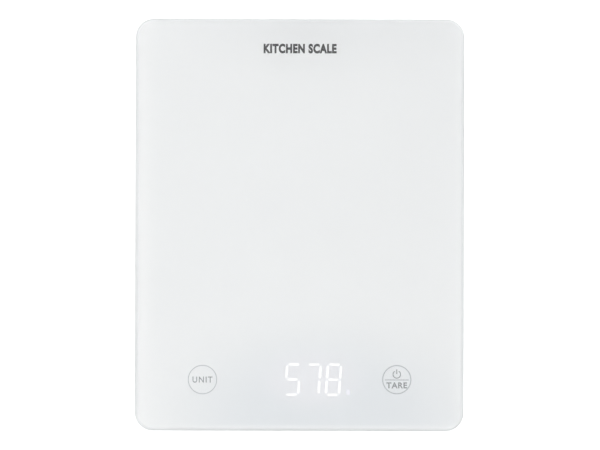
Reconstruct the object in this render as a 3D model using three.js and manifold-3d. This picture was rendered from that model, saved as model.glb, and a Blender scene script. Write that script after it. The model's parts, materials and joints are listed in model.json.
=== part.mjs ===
// A slim electronic kitchen scale. A glass platform is taped to a plastic frame, which is screwed to a
// shallow bottom shell. The whole housing rides on four sprung feet, each pressing on its own load cell.
// The display and the two touch keys work through the glass. Three AAA cells sit behind a door below.
// Millimetres. X runs to the right, Y to the back, Z up. The origin is on the table under the middle.
import * as THREE from "three";
import { mergeVertices } from "three/addons/utils/BufferGeometryUtils.js";
import Module from "manifold-3d";

const wasm = await Module();
wasm.setup();

// ---- Driving dimensions -------------------------------------------------------------------------
const WIDTH = 180;
const DEPTH = 225.5;
const HEIGHT = 20;
const CORNER_RADIUS = 10;

const GLASS_THICKNESS = 4;
const GLASS_EDGE_RADIUS = 1.8; // the ground pencil edge
const TAPE_THICKNESS = 0.7;
const JOINT_GAP = 0.05; // between flat faces that touch
const FIT_GAP = 0.3; // between pieces that are assembled round each other

const GROUND_CLEARANCE = 2; // table to the underside of the shell
const HOUSING_INSET = 2.5; // housing side, in from the edge of the glass
const WALL = 1.8;
const PARTING_Z = 10.6; // seam between the shell and the frame
const SEAM = 0.3;
const BELLY_RUN = 12; // how far the shell's side curves in on its way down
const BELLY_RADIUS_GAIN = 3; // corner radius grows by this on the way down
const FRAME_PLATE = 1.2;
const LIP_INSET = 1; // the shell's alignment lip, in from the housing side
const LIP_HEIGHT = 1.4;

const GLASS_BOTTOM = HEIGHT - GLASS_THICKNESS;
const TAPE_TOP = GLASS_BOTTOM - JOINT_GAP;
const TAPE_BOTTOM = TAPE_TOP - TAPE_THICKNESS;
const FRAME_TOP = TAPE_BOTTOM - JOINT_GAP;
const FRAME_UNDERSIDE = FRAME_TOP - FRAME_PLATE;
const FRAME_BOTTOM = PARTING_Z + SEAM;
const SHELL_BOTTOM = GROUND_CLEARANCE;
const SHELL_FLOOR = SHELL_BOTTOM + WALL;

// Feet and load cells: one set in each corner.
const FOOT_X = 63;
const FOOT_Y = 86;
const FOOT_RADIUS = 9;
const FOOT_FLANGE_RADIUS = 10.2;
const PAD_RADIUS = 7.5;
const PAD_HEIGHT = 1.6;
const PAD_PROUD = 0.7; // how far the pad stands below the foot
const CELL_SIZE = 24;
const CELL_THICKNESS = 1.2;
const CELL_BOTTOM = 6.3;
const HOLDER_SIZE = 27.5;
const HOLDER_BOTTOM = CELL_BOTTOM + CELL_THICKNESS + JOINT_GAP;
const HOLDER_THICKNESS = 1.2;
const HOLDER_EAR = 17; // screw ears, from the middle of the cell towards the middle of the scale

// Battery bay: three AAA cells side by side, lying along X.
const BATTERY_RADIUS = 5.2;
const BATTERY_LENGTH = 44.5;
const BATTERY_PITCH = 11;
const BATTERY_NUB = 1;
const BAY_Y = 10;
const BAY_LENGTH = 51.6;
const BAY_WIDTH = 34;
const BAY_WALL = 1.2;
const BAY_ROOF = 0.8;
const DOOR_LENGTH = 58;
const DOOR_WIDTH = 43;
const DOOR_THICKNESS = 1.4;
const LEDGE_Z = SHELL_BOTTOM + DOOR_THICKNESS + 0.1; // the door closes against this face
const LEDGE_THICKNESS = 1.6;
const DOOR_BACK_Y = BAY_Y + DOOR_WIDTH / 2;
const TAB_X = 17;
const TAB_WIDTH = 8;
const TAB_TOP = 4.8;
const LATCH_WIDTH = 14;
const LATCH_Y = BAY_Y - BAY_WIDTH / 2 - 0.4;

// Electronics, at the front of the scale.
const BOARD_WIDTH = 118;
const BOARD_DEPTH = 40;
const BOARD_THICKNESS = 1;
const BOARD_Y = -84;
const BOARD_TOP = 11.6;
const BOARD_SCREW_X = 36;
const BOARD_SCREW_Y = 17; // either side of the board's middle line
const KEY_X = 53;
const KEY_Y = -84.5;
const DISPLAY_WIDTH = 50;
const DISPLAY_DEPTH = 24;
const DISPLAY_X = 3.6;
const DIGITS = 4;
const DIGITS_X = 1.8; // middle of the row of digits
const DIGIT_PITCH = 11.2;
const DIGIT_HEIGHT = 17.8;
const DIGIT_WIDTH = 8.4;
const DIGIT_SLANT = 0.077; // sideways lean per unit of height
const SEGMENT_WIDTH = 1.4;
const SEGMENT_GAP = 0.15; // between the tips of neighbouring segments
const SEGMENT_DEPTH = 1.2;
const UNIT_LIGHT = { x: 26.7, y: -91.2, width: 1.4, depth: 2.8 };

const BOARD_SCREWS = [-1, 1].flatMap((side) =>
  [-1, 1].map((end) => [side * BOARD_SCREW_X, BOARD_Y + end * BOARD_SCREW_Y]),
);
const SHELL_SCREWS = [-1, 1].flatMap((side) => [-52, 0, 52].map((y) => [side * 66, y]));
const CORNERS = [
  ["front_left", -1, -1],
  ["front_right", 1, -1],
  ["rear_left", -1, 1],
  ["rear_right", 1, 1],
];

const material = (color, roughness, metalness = 0) =>
  new THREE.MeshStandardMaterial({ color, roughness, metalness });
const GLASS = material(0xeef1f2, 0.05);
const WHITE_PLASTIC = material(0xeceef0, 0.45);
const TAPE = material(0xdfe2e4, 0.9);
const RUBBER = material(0xb9bdc1, 0.85);
const STEEL = material(0xb4b7ba, 0.35, 1);
const NICKEL = material(0xcfcdc8, 0.25, 1);
const BOARD = material(0x2f6b45, 0.6);
const CHIP = material(0x1d1e20, 0.5);
const DISPLAY = material(0xf4f5f6, 0.5);
const FILM = material(0xfafafa, 0.6);
const JACKET = material(0x46505c, 0.4);
const INSULATION = { sensor: material(0xd8d8d6, 0.6), plus: material(0xb3312b, 0.6), minus: material(0x222326, 0.6) };

// ---- Solids from three.js geometry ----------------------------------------------------------------
const MERGE_DISTANCE = 1e-3;
const REACH = 0.5; // how far a cutter runs past the face that it cuts

function solid(geometry) {
  const bare = geometry.clone();
  Object.keys(bare.attributes)
    .filter((name) => name !== "position")
    .forEach((name) => bare.deleteAttribute(name));
  const merged = mergeVertices(bare, MERGE_DISTANCE);
  return new wasm.Manifold(
    new wasm.Mesh({
      numProp: 3,
      vertProperties: merged.attributes.position.array,
      triVerts: new Uint32Array(merged.index.array),
    }),
  );
}

function geometryOf(made) {
  const mesh = made.getMesh();
  return new THREE.BufferGeometry()
    .setAttribute("position", new THREE.BufferAttribute(mesh.vertProperties, 3))
    .setIndex(new THREE.BufferAttribute(mesh.triVerts, 1));
}

const join = (...pieces) => pieces.flat().reduce((whole, piece) => whole.add(piece));
const cut = (whole, ...cutters) => cutters.flat().reduce((left, cutter) => left.subtract(cutter), whole);

function rectangle(width, depth, radius) {
  const [x, y] = [width / 2 - radius, depth / 2 - radius];
  return new THREE.Shape()
    .absarc(x, -y, radius, -Math.PI / 2, 0)
    .absarc(x, y, radius, 0, Math.PI / 2)
    .absarc(-x, y, radius, Math.PI / 2, Math.PI)
    .absarc(-x, -y, radius, Math.PI, 1.5 * Math.PI);
}

function extrude(shape, bottom, top, curveSegments = 3) {
  const geometry = new THREE.ExtrudeGeometry(shape, {
    depth: top - bottom,
    bevelEnabled: false,
    curveSegments,
  });
  return solid(geometry.translate(0, 0, bottom));
}

function slab(width, depth, radius, bottom, top, curveSegments = 2) {
  return extrude(rectangle(width, depth, radius), bottom, top, curveSegments);
}

function block(x, y, width, depth, bottom, top) {
  const geometry = new THREE.BoxGeometry(width, depth, top - bottom);
  return solid(geometry.translate(x, y, (bottom + top) / 2));
}

function post(x, y, radius, bottom, top, sides = 12) {
  const geometry = new THREE.CylinderGeometry(radius, radius, top - bottom, sides);
  return solid(geometry.rotateX(Math.PI / 2).translate(x, y, (bottom + top) / 2));
}

// A turned body: profile holds [radius, height] pairs, from the axis at the bottom to the axis at the top.
function turned(profile, sides = 20) {
  const points = profile.map(([radius, height]) => new THREE.Vector2(radius, height));
  return solid(new THREE.LatheGeometry(points, sides).rotateX(Math.PI / 2));
}

// A body through rounded rectangles stacked from bottom to top: levels hold [inset, radius, height].
function stacked(width, depth, levels, curveSegments = 4) {
  const rings = levels.map(([inset, radius, height]) => {
    const outline = rectangle(width - 2 * inset, depth - 2 * inset, radius).getPoints(curveSegments);
    const points = outline.slice(0, -1);
    return points.map((point) => [point.x, point.y, height]);
  });
  const count = rings[0].length;
  const faces = THREE.ShapeUtils.triangulateShape(rings[0].map(([x, y]) => new THREE.Vector2(x, y)), []);
  const last = (rings.length - 1) * count;
  const index = faces.flatMap(([a, b, c]) => [c, b, a, last + a, last + b, last + c]);
  for (let level = 0; level < last; level += count) {
    for (let i = 0; i < count; i += 1) {
      const [a, b] = [level + i, level + ((i + 1) % count)];
      index.push(a, b, b + count, a, b + count, a + count);
    }
  }
  const geometry = new THREE.BufferGeometry();
  geometry.setAttribute("position", new THREE.Float32BufferAttribute(rings.flat(2), 3));
  return solid(geometry.setIndex(index));
}

// A tube or ribbon along a smooth curve through points.
function swept(section, curve, steps) {
  return solid(
    new THREE.ExtrudeGeometry(section, { extrudePath: curve, steps, curveSegments: 4, bevelEnabled: false }),
  );
}

function regularSection(radius, sides) {
  const corners = Array.from({ length: sides }, (_, i) => {
    const angle = (2 * Math.PI * i) / sides;
    return new THREE.Vector2(radius * Math.cos(angle), radius * Math.sin(angle));
  });
  return new THREE.Shape(corners);
}

// A coil about Z that may narrow towards its top.
class Coil extends THREE.Curve {
  constructor(bottomRadius, topRadius, bottom, top, turns) {
    super();
    Object.assign(this, { bottomRadius, topRadius, bottom, top, turns });
  }

  getPoint(t, target = new THREE.Vector3()) {
    const radius = THREE.MathUtils.lerp(this.bottomRadius, this.topRadius, t);
    const angle = 2 * Math.PI * this.turns * t;
    const height = THREE.MathUtils.lerp(this.bottom, this.top, t);
    return target.set(radius * Math.cos(angle), radius * Math.sin(angle), height);
  }
}

function coil(bottomRadius, topRadius, bottom, top, turns, wireRadius) {
  const stepsPerTurn = 10;
  const curve = new Coil(bottomRadius, topRadius, bottom, top, turns);
  return swept(regularSection(wireRadius, 5), curve, Math.round(turns * stepsPerTurn));
}

const scale = new THREE.Group();
scale.name = "kitchen_scale";

function addPiece(name, made, finish, position = [0, 0, 0], parent = scale) {
  const mesh = new THREE.Mesh(geometryOf(made), finish);
  mesh.name = name;
  mesh.position.set(...position);
  parent.add(mesh);
  return mesh;
}

// ---- Platform -------------------------------------------------------------------------------------
// Insets and heights round a quarter circle, for an edge that is ground round.
function edgeLevels(radius, centreZ, from, to, steps) {
  return Array.from({ length: steps + 1 }, (_, i) => {
    const angle = THREE.MathUtils.lerp(from, to, i / steps);
    const inset = radius * (1 - Math.cos(angle));
    return [inset, CORNER_RADIUS - inset, centreZ + radius * Math.sin(angle)];
  });
}

function glassPlatform() {
  const [low, high] = [GLASS_BOTTOM + GLASS_EDGE_RADIUS, HEIGHT - GLASS_EDGE_RADIUS];
  const quarter = Math.PI / 2;
  return stacked(WIDTH, DEPTH, [
    ...edgeLevels(GLASS_EDGE_RADIUS, low, -quarter, 0, 4),
    ...edgeLevels(GLASS_EDGE_RADIUS, high, 0, quarter, 4),
  ]);
}

function platformTape() {
  const outerInset = 5.5;
  const band = 8;
  const size = (inset) => [WIDTH - 2 * inset, DEPTH - 2 * inset, 4];
  const ring = slab(...size(outerInset), TAPE_BOTTOM, TAPE_TOP);
  return cut(ring, slab(...size(outerInset + band), TAPE_BOTTOM - REACH, TAPE_TOP + REACH));
}

// ---- Housing --------------------------------------------------------------------------------------
const HOUSING_WIDTH = WIDTH - 2 * HOUSING_INSET;
const HOUSING_DEPTH = DEPTH - 2 * HOUSING_INSET;
const HOUSING_RADIUS = CORNER_RADIUS - HOUSING_INSET;

// Levels of the shell's curved side, from the floor up to the seam, for its outside or its inside.
function bellyLevels(wall) {
  const steps = 6;
  const [run, drop] = [BELLY_RUN - wall, PARTING_Z - SHELL_BOTTOM - wall];
  return Array.from({ length: steps + 1 }, (_, i) => {
    const angle = (Math.PI / 2) * (1 - i / steps);
    const inset = wall + run * (1 - Math.cos(angle));
    const radius = HOUSING_RADIUS - wall + BELLY_RADIUS_GAIN * (1 - Math.cos(angle));
    return [inset, radius, PARTING_Z - drop * Math.sin(angle)];
  });
}

function housingLayer(inset, bottom, top) {
  const radius = HOUSING_RADIUS - inset;
  return stacked(HOUSING_WIDTH, HOUSING_DEPTH, [
    [inset, radius, bottom],
    [inset, radius, top],
  ]);
}

function shellTray() {
  const outside = stacked(HOUSING_WIDTH, HOUSING_DEPTH, bellyLevels(0));
  const top = PARTING_Z + LIP_HEIGHT;
  const inner = bellyLevels(WALL);
  const inside = stacked(HOUSING_WIDTH, HOUSING_DEPTH, [...inner, [WALL, HOUSING_RADIUS - WALL, top + REACH]]);
  const lip = housingLayer(LIP_INSET, PARTING_Z - REACH, top);
  return cut(join(outside, lip), inside);
}

const SCREW_HEAD_ROOM = 3; // radius of the counterbore under a shell screw
const SCREW_LEDGE = [5.6, 7.2]; // heights of the ledge that the head pulls on

// Cuts and bosses for the shell screws: each head sits deep in a counterbore.
function shellScrewBosses() {
  return SHELL_SCREWS.map(([x, y]) => post(x, y, SCREW_HEAD_ROOM + 1.4, SHELL_BOTTOM + 1, SCREW_LEDGE[1]));
}

function shellScrewHoles() {
  return SHELL_SCREWS.flatMap(([x, y]) => [
    post(x, y, SCREW_HEAD_ROOM, SHELL_BOTTOM - REACH, SCREW_LEDGE[0]),
    post(x, y, 1.6, SHELL_BOTTOM, SCREW_LEDGE[1] + REACH),
  ]);
}

const POCKET_POST = 10.5; // corner posts under the load cell, from its middle
const earsOf = (sideX, sideY) => [
  [sideX * (FOOT_X - HOLDER_EAR), sideY * FOOT_Y],
  [sideX * FOOT_X, sideY * (FOOT_Y - HOLDER_EAR)],
];

function footPocket([, sideX, sideY]) {
  const [x, y] = [sideX * FOOT_X, sideY * FOOT_Y];
  const collar = post(x, y, FOOT_FLANGE_RADIUS + 1.5, SHELL_BOTTOM + 1, 5.4, 20);
  const corner = (dx, dy) => post(x + dx, y + dy, 1.6, SHELL_BOTTOM + 0.9, CELL_BOTTOM - JOINT_GAP, 6);
  const posts = [-1, 1].flatMap((i) => [-1, 1].map((j) => corner(i * POCKET_POST, j * POCKET_POST)));
  const bosses = earsOf(sideX, sideY).map(([a, b]) => post(a, b, 2.6, SHELL_BOTTOM + 1, HOLDER_BOTTOM - 0.1, 12));
  return [collar, ...posts, ...bosses];
}

function footPocketHoles([, sideX, sideY]) {
  const [x, y] = [sideX * FOOT_X, sideY * FOOT_Y];
  const pilots = earsOf(sideX, sideY).map(([a, b]) => post(a, b, 0.95, SHELL_FLOOR + 0.6, HOLDER_BOTTOM + REACH, 8));
  return [
    post(x, y, FOOT_RADIUS + FIT_GAP, SHELL_BOTTOM - REACH, SHELL_FLOOR + REACH, 20),
    post(x, y, FOOT_FLANGE_RADIUS + FIT_GAP, SHELL_FLOOR, 5.4 + REACH, 20),
    ...pilots,
  ];
}

const BAY_TOP = FRAME_TOP;
const RECESS_LENGTH = DOOR_LENGTH + 0.6;
const RECESS_WIDTH = DOOR_WIDTH + 0.6;

function batteryBay() {
  const walls = block(0, BAY_Y, BAY_LENGTH + 2 * BAY_WALL, BAY_WIDTH + 2 * BAY_WALL, SHELL_BOTTOM + 1, BAY_TOP);
  const ledge = slab(RECESS_LENGTH + 3.4, RECESS_WIDTH + 3.4, 2, SHELL_BOTTOM + 1, LEDGE_Z + LEDGE_THICKNESS);
  return [walls, ledge.translate([0, BAY_Y, 0])];
}

const CONTACT_TAB_Z = 9;
const TAB_SLOTS = [
  [-1, -1],
  [1, 1],
]; // end and row of the two contacts with solder tabs

function batteryBayHoles() {
  const cavity = block(0, BAY_Y, BAY_LENGTH, BAY_WIDTH, SHELL_BOTTOM - REACH, BAY_TOP - BAY_ROOF);
  const recess = slab(RECESS_LENGTH, RECESS_WIDTH, 1.6, SHELL_BOTTOM - REACH, LEDGE_Z);
  const wallBack = BAY_Y + BAY_WIDTH / 2 + BAY_WALL;
  const [notchFront, notchBack] = [wallBack + 0.2, DOOR_BACK_Y + 3.4];
  const notchY = (notchFront + notchBack) / 2;
  const tabNotches = [-1, 1].map((side) =>
    block(side * TAB_X, notchY, TAB_WIDTH + 1.2, notchBack - notchFront, LEDGE_Z - JOINT_GAP, TAB_TOP + 2),
  );
  const latchNotch = block(0, LATCH_Y, LATCH_WIDTH + 1, 2.8, LEDGE_Z - JOINT_GAP, LEDGE_Z + 4);
  const tabSlots = TAB_SLOTS.map(([end, row]) =>
    block((end * BAY_LENGTH) / 2, BAY_Y + row * BATTERY_PITCH, 4, 3.6, CONTACT_TAB_Z - 1, CONTACT_TAB_Z + 1),
  );
  return [cavity, recess.translate([0, BAY_Y, 0]), ...tabNotches, latchNotch, ...tabSlots];
}

// A shallow scoop in front of the door, so that a fingertip reaches the latch.
function fingerScoop() {
  const depth = 1;
  const ball = new THREE.SphereGeometry(1, 20, 12).scale(9, 5, 2 * depth);
  const centre = [0, BAY_Y - DOOR_WIDTH / 2 - 0.4, SHELL_BOTTOM - depth];
  return solid(ball.translate(...centre));
}

function floorRibs() {
  const ribTop = SHELL_FLOOR + 2.6;
  const along = [-37, 37].map((x) => block(x, 12, 1.2, 118, SHELL_BOTTOM + 1, ribTop));
  const across = [-48, 70].map((y) => block(0, y, 75, 1.2, SHELL_BOTTOM + 1, ribTop));
  return [...along, ...across];
}

function bottomShell() {
  const added = [...shellScrewBosses(), ...CORNERS.flatMap(footPocket), ...batteryBay(), ...floorRibs()];
  const holes = [...shellScrewHoles(), ...CORNERS.flatMap(footPocketHoles), ...batteryBayHoles(), fingerScoop()];
  return cut(join(shellTray(), added), holes);
}

const KEY_HOLE_RADIUS = 5;

function upperFrame() {
  const lipRoom = LIP_INSET - 0.15;
  const body = stacked(HOUSING_WIDTH, HOUSING_DEPTH, [
    [0, HOUSING_RADIUS, FRAME_BOTTOM],
    [0, HOUSING_RADIUS, FRAME_TOP - 0.5],
    [0.5, HOUSING_RADIUS - 0.5, FRAME_TOP],
  ]);
  const hollow = housingLayer(WALL, FRAME_BOTTOM - REACH, FRAME_UNDERSIDE);
  const lipGroove = housingLayer(lipRoom, FRAME_BOTTOM - REACH, PARTING_Z + LIP_HEIGHT + 0.2);
  const bosses = SHELL_SCREWS.map(([x, y]) => post(x, y, 3.2, SCREW_LEDGE[1] + 0.15, FRAME_UNDERSIDE + REACH));
  const pilots = SHELL_SCREWS.map(([x, y]) => post(x, y, 1.35, SCREW_LEDGE[1] - REACH, FRAME_UNDERSIDE - 1, 12));
  const standoffs = BOARD_SCREWS.map(([x, y]) => post(x, y, 2.6, BOARD_TOP + JOINT_GAP, FRAME_UNDERSIDE + REACH, 12));
  const boardPilots = BOARD_SCREWS.map(([x, y]) => post(x, y, 0.95, BOARD_TOP - REACH, FRAME_UNDERSIDE + 0.2, 8));
  const through = [FRAME_UNDERSIDE - REACH, FRAME_TOP + REACH];
  const displayWindow = slab(DISPLAY_WIDTH + 2 * FIT_GAP, DISPLAY_DEPTH + 2 * FIT_GAP, 0.8, ...through);
  const bayRoom = 2 * (BAY_WALL + FIT_GAP);
  const bayWindow = slab(BAY_LENGTH + bayRoom, BAY_WIDTH + bayRoom, 0.8, ...through);
  const keyHoles = [-1, 1].map((side) => post(side * KEY_X, KEY_Y, KEY_HOLE_RADIUS, ...through, 16));
  return cut(
    join(cut(body, hollow, lipGroove), bosses, standoffs),
    pilots,
    boardPilots,
    displayWindow.translate([DISPLAY_X, KEY_Y, 0]),
    bayWindow.translate([0, BAY_Y, 0]),
    keyHoles,
  );
}

// ---- Battery door ---------------------------------------------------------------------------------
// Two tabs at the back hook over the shell's floor; the latch tongue at the front holds in its opening.
function batteryDoor() {
  const top = SHELL_BOTTOM + DOOR_THICKNESS;
  const frontY = BAY_Y - DOOR_WIDTH / 2;
  const plate = slab(DOOR_LENGTH, DOOR_WIDTH, 1.3, SHELL_BOTTOM, top).translate([0, BAY_Y, 0]);
  const tabs = [-1, 1].flatMap((side) => [
    block(side * TAB_X, DOOR_BACK_Y - 1, TAB_WIDTH, 1.4, top - REACH, TAB_TOP),
    block(side * TAB_X, DOOR_BACK_Y + 0.2, TAB_WIDTH, 3.6, TAB_TOP - 1, TAB_TOP),
  ]);
  const tongue = block(0, LATCH_Y, LATCH_WIDTH, 1.2, top - REACH, LEDGE_Z + LEDGE_THICKNESS + 1.2);
  const slits = [-1, 1].map((side) =>
    block(side * (LATCH_WIDTH / 2 + 1.2), frontY + 4, 0.8, 9, SHELL_BOTTOM - REACH, top + REACH),
  );
  const grips = [0, 1, 2].map((i) =>
    block(0, frontY + 2.2 + 1.5 * i, 9, 0.7, SHELL_BOTTOM - REACH, SHELL_BOTTOM + 0.4),
  );
  return cut(join(plate, tabs, tongue), slits, grips);
}

// ---- Feet and load cells --------------------------------------------------------------------------
function foot() {
  const pocketTop = PAD_PROUD + 1;
  const body = turned([
    [0, pocketTop],
    [PAD_RADIUS + 0.2, pocketTop],
    [PAD_RADIUS + 0.2, PAD_PROUD],
    [FOOT_RADIUS - 0.5, PAD_PROUD],
    [FOOT_RADIUS, PAD_PROUD + 0.5],
    [FOOT_RADIUS, SHELL_FLOOR + 0.1],
    [FOOT_FLANGE_RADIUS, SHELL_FLOOR + 0.1],
    [FOOT_FLANGE_RADIUS, SHELL_FLOOR + 1.1],
    [3.4, SHELL_FLOOR + 1.1],
    [2.6, CELL_BOTTOM - JOINT_GAP],
    [0, CELL_BOTTOM - JOINT_GAP],
  ]);
  return body;
}

function footPad() {
  const top = PAD_PROUD + 1 - JOINT_GAP;
  return turned([
    [0, 0],
    [PAD_RADIUS - 0.4, 0],
    [PAD_RADIUS, 0.4],
    [PAD_RADIUS, top],
    [0, top],
  ]);
}

// A half-bridge cell: a steel plate whose middle tongue bends when the foot presses on its tip.
function loadCell() {
  const top = CELL_BOTTOM + CELL_THICKNESS;
  const plate = slab(CELL_SIZE, CELL_SIZE, 2, CELL_BOTTOM, top);
  const through = [CELL_BOTTOM - REACH, top + REACH];
  const [tongueWidth, slot, frameWidth] = [8, 1.4, 3.2];
  const opening = CELL_SIZE / 2 - frameWidth;
  const sideSlots = [-1, 1].map((side) => block((side * (tongueWidth + slot)) / 2, 0, slot, 2 * opening, ...through));
  const tipSlot = block(0, -opening + slot / 2, tongueWidth + 2 * slot, slot, ...through);
  const outerWindows = [-1, 1].map((side) => block(side * (opening - 1), 2.5, 2, 2 * opening - 5, ...through));
  return cut(plate, sideSlots, tipSlot, outerWindows);
}

// Holds the rim of a load cell down on its posts. earX and earY point to the middle of the scale.
function cellHolder(earX, earY) {
  const [bottom, top] = [HOLDER_BOTTOM, HOLDER_BOTTOM + HOLDER_THICKNESS];
  const through = [bottom - REACH, top + REACH];
  const ring = slab(HOLDER_SIZE, HOLDER_SIZE, 2.5, bottom, top);
  const reach = HOLDER_EAR - 5;
  const ears = [
    [earX, 0],
    [0, earY],
  ].flatMap(([x, y]) => [
    post(x * HOLDER_EAR, y * HOLDER_EAR, 3, bottom, top, 12),
    block((x * (HOLDER_EAR + reach)) / 2, (y * (HOLDER_EAR + reach)) / 2, x ? 6 : 5, y ? 6 : 5, bottom, top),
  ]);
  const holes = [
    post(earX * HOLDER_EAR, 0, 1.15, ...through, 8),
    post(0, earY * HOLDER_EAR, 1.15, ...through, 8),
  ];
  return cut(join(ring, ears), slab(18.5, 18.5, 1.5, ...through), holes);
}

// ---- Screws ---------------------------------------------------------------------------------------
// A cross-head screw standing head down at the origin: the head's face is at z 0 and the shank points up.
function crossScrew(headRadius, headHeight, shankRadius, length) {
  const dome = 0.35 * headHeight;
  const body = turned(
    [
      [0, 0],
      [headRadius * 0.7, 0],
      [headRadius, dome],
      [headRadius, headHeight],
      [shankRadius, headHeight],
      [shankRadius, headHeight + length - shankRadius],
      [0, headHeight + length],
    ],
    12,
  );
  const arm = 0.26 * headRadius;
  const span = 1.2 * headRadius;
  const depth = 0.55 * headHeight;
  return cut(body, block(0, 0, arm, span, -REACH, depth), block(0, 0, span, arm, -REACH, depth));
}

const turnedOver = (made) => made.rotate([180, 0, 0]);

// ---- Electronics ----------------------------------------------------------------------------------
function mainBoard() {
  const bottom = BOARD_TOP - BOARD_THICKNESS;
  const through = [bottom - REACH, BOARD_TOP + REACH];
  const board = slab(BOARD_WIDTH, BOARD_DEPTH, 2, bottom, BOARD_TOP).translate([0, BOARD_Y, 0]);
  return cut(board, BOARD_SCREWS.map(([x, y]) => post(x, y, 1.2, ...through, 12)));
}

// Corner points of the seven segments of a digit, about the digit's middle, before it leans.
function segmentOutlines() {
  const half = SEGMENT_WIDTH / 2;
  const gap = SEGMENT_GAP;
  const x = DIGIT_WIDTH / 2 - half;
  const y = DIGIT_HEIGHT / 2 - half;
  const bar = (ax, ay, bx, by) => {
    const along = new THREE.Vector2(bx - ax, by - ay).normalize();
    const across = new THREE.Vector2(-along.y, along.x);
    const at = (px, py, alongBy, acrossBy) =>
      new THREE.Vector2(px, py).addScaledVector(along, alongBy).addScaledVector(across, acrossBy);
    return [
      at(ax, ay, gap, 0),
      at(ax, ay, gap + half, -half),
      at(bx, by, -gap - half, -half),
      at(bx, by, -gap, 0),
      at(bx, by, -gap - half, half),
      at(ax, ay, gap + half, half),
    ];
  };
  const upright = (side) => [bar(side * x, 0, side * x, y), bar(side * x, -y, side * x, 0)];
  return [...[-y, 0, y].map((level) => bar(-x, level, x, level)), ...upright(-1), ...upright(1)];
}

function displayModule() {
  const bottom = BOARD_TOP + JOINT_GAP;
  const top = GLASS_BOTTOM - 0.35;
  const body = slab(DISPLAY_WIDTH, DISPLAY_DEPTH, 0.5, bottom, top);
  const lean = (point, x) => new THREE.Vector2(point.x + DIGIT_SLANT * point.y + x, point.y);
  const firstX = DIGITS_X - DISPLAY_X - ((DIGITS - 1) / 2) * DIGIT_PITCH;
  const pockets = Array.from({ length: DIGITS }, (_, digit) =>
    segmentOutlines().map((outline) => {
      const shape = new THREE.Shape(outline.map((point) => lean(point, firstX + digit * DIGIT_PITCH)));
      return extrude(shape, top - SEGMENT_DEPTH, top + REACH);
    }),
  ).flat();
  const { x, y, width, depth } = UNIT_LIGHT;
  const unitLight = block(x - DISPLAY_X, y - KEY_Y, width, depth, top - SEGMENT_DEPTH, top + REACH);
  return cut(body, pockets, unitLight);
}

function displayFilm() {
  return slab(DISPLAY_WIDTH - 0.4, DISPLAY_DEPTH - 0.4, 0.5, GLASS_BOTTOM - 0.3, GLASS_BOTTOM - 0.1);
}

function touchSpring() {
  const wire = 0.3;
  const [bottom, top] = [BOARD_TOP + 0.1, GLASS_BOTTOM - 0.1];
  const foil = post(0, 0, 3.9, top - 0.25, top, 20);
  const base = post(0, 0, 3, bottom, bottom + 0.3, 16);
  return join(coil(2.6, 3.5, bottom + wire, top - wire, 3.5, wire), foil, base);
}

// ---- Batteries and contacts -----------------------------------------------------------------------
// A cell lying along X with its nub towards +X.
function battery() {
  const half = BATTERY_LENGTH / 2;
  const shoulder = half - BATTERY_NUB;
  return turned(
    [
      [0, -half],
      [BATTERY_RADIUS - 0.8, -half],
      [BATTERY_RADIUS, -half + 0.5],
      [BATTERY_RADIUS, shoulder - 0.5],
      [BATTERY_RADIUS - 0.6, shoulder],
      [1.9, shoulder],
      [1.9, half],
      [0, half],
    ],
    16,
  ).rotate([0, 90, 0]);
}

const BATTERY_Z = LEDGE_Z + 0.25 + BATTERY_RADIUS;
const CONTACT_THICKNESS = 0.4;
const CONTACT_SIZE = [9, 8];
const CONTACT_X = BAY_LENGTH / 2 - CONTACT_THICKNESS / 2 - 0.1;
// The cells are pushed against their plates, so each spring fills what is left at the other end.
const NUB_X = CONTACT_X - CONTACT_THICKNESS / 2 - 0.1;
const SPRING_LENGTH = 2 * NUB_X - BATTERY_LENGTH - 0.1;

// Contact plates stand in the bay's end wall on side end, from row to row; -1, 0 and 1 are the rows.
function contactPlate(end, rows) {
  const [width, height] = CONTACT_SIZE;
  const middle = (rows[0] + rows[rows.length - 1]) / 2;
  const span = (rows.length - 1) * BATTERY_PITCH + width;
  const [low, high] = [BATTERY_Z - height / 2, BATTERY_Z + height / 2];
  return block(end * CONTACT_X, middle * BATTERY_PITCH, CONTACT_THICKNESS, span, low, high);
}

function contactSpring(end, row) {
  const wire = 0.32;
  const spring = coil(3.4, 1.9, CONTACT_THICKNESS / 2, SPRING_LENGTH - wire, 3, wire);
  const turn = end > 0 ? -90 : 90;
  return spring.rotate([0, turn, 0]).translate([end * CONTACT_X, row * BATTERY_PITCH, BATTERY_Z]);
}

function contactTab(end, row) {
  const [inner, outer] = [CONTACT_X, BAY_LENGTH / 2 + BAY_WALL + 2];
  const x = (end * (inner + outer)) / 2;
  const [low, high] = [CONTACT_TAB_Z - CONTACT_THICKNESS / 2, CONTACT_TAB_Z + CONTACT_THICKNESS / 2];
  return block(x, row * BATTERY_PITCH, outer - inner, 3, low, high);
}

// ---- Wiring ---------------------------------------------------------------------------------------
// Three insulated wires side by side; the ribbon's width runs along the section's second axis.
const WIRE_RADIUS = 0.5;

function ribbonSection() {
  const arc = (row, from, to) =>
    [from, (2 * from + to) / 3, (from + 2 * to) / 3, to].map((degrees) => {
      const angle = THREE.MathUtils.degToRad(degrees);
      const middle = 1.8 * WIRE_RADIUS * row;
      return new THREE.Vector2(WIRE_RADIUS * Math.cos(angle), middle + WIRE_RADIUS * Math.sin(angle));
    });
  const [right, left] = [arc(0, -50, 50), arc(0, 130, 230)];
  const [end, start] = [arc(1, -45, 225), arc(-1, 135, 405)];
  return new THREE.Shape([...right, ...end, ...left, ...start]);
}

const smoothCurve = (points) => new THREE.CatmullRomCurve3(points.map((p) => new THREE.Vector3(...p)));
const BOARD_UNDERSIDE = BOARD_TOP - BOARD_THICKNESS;

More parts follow.
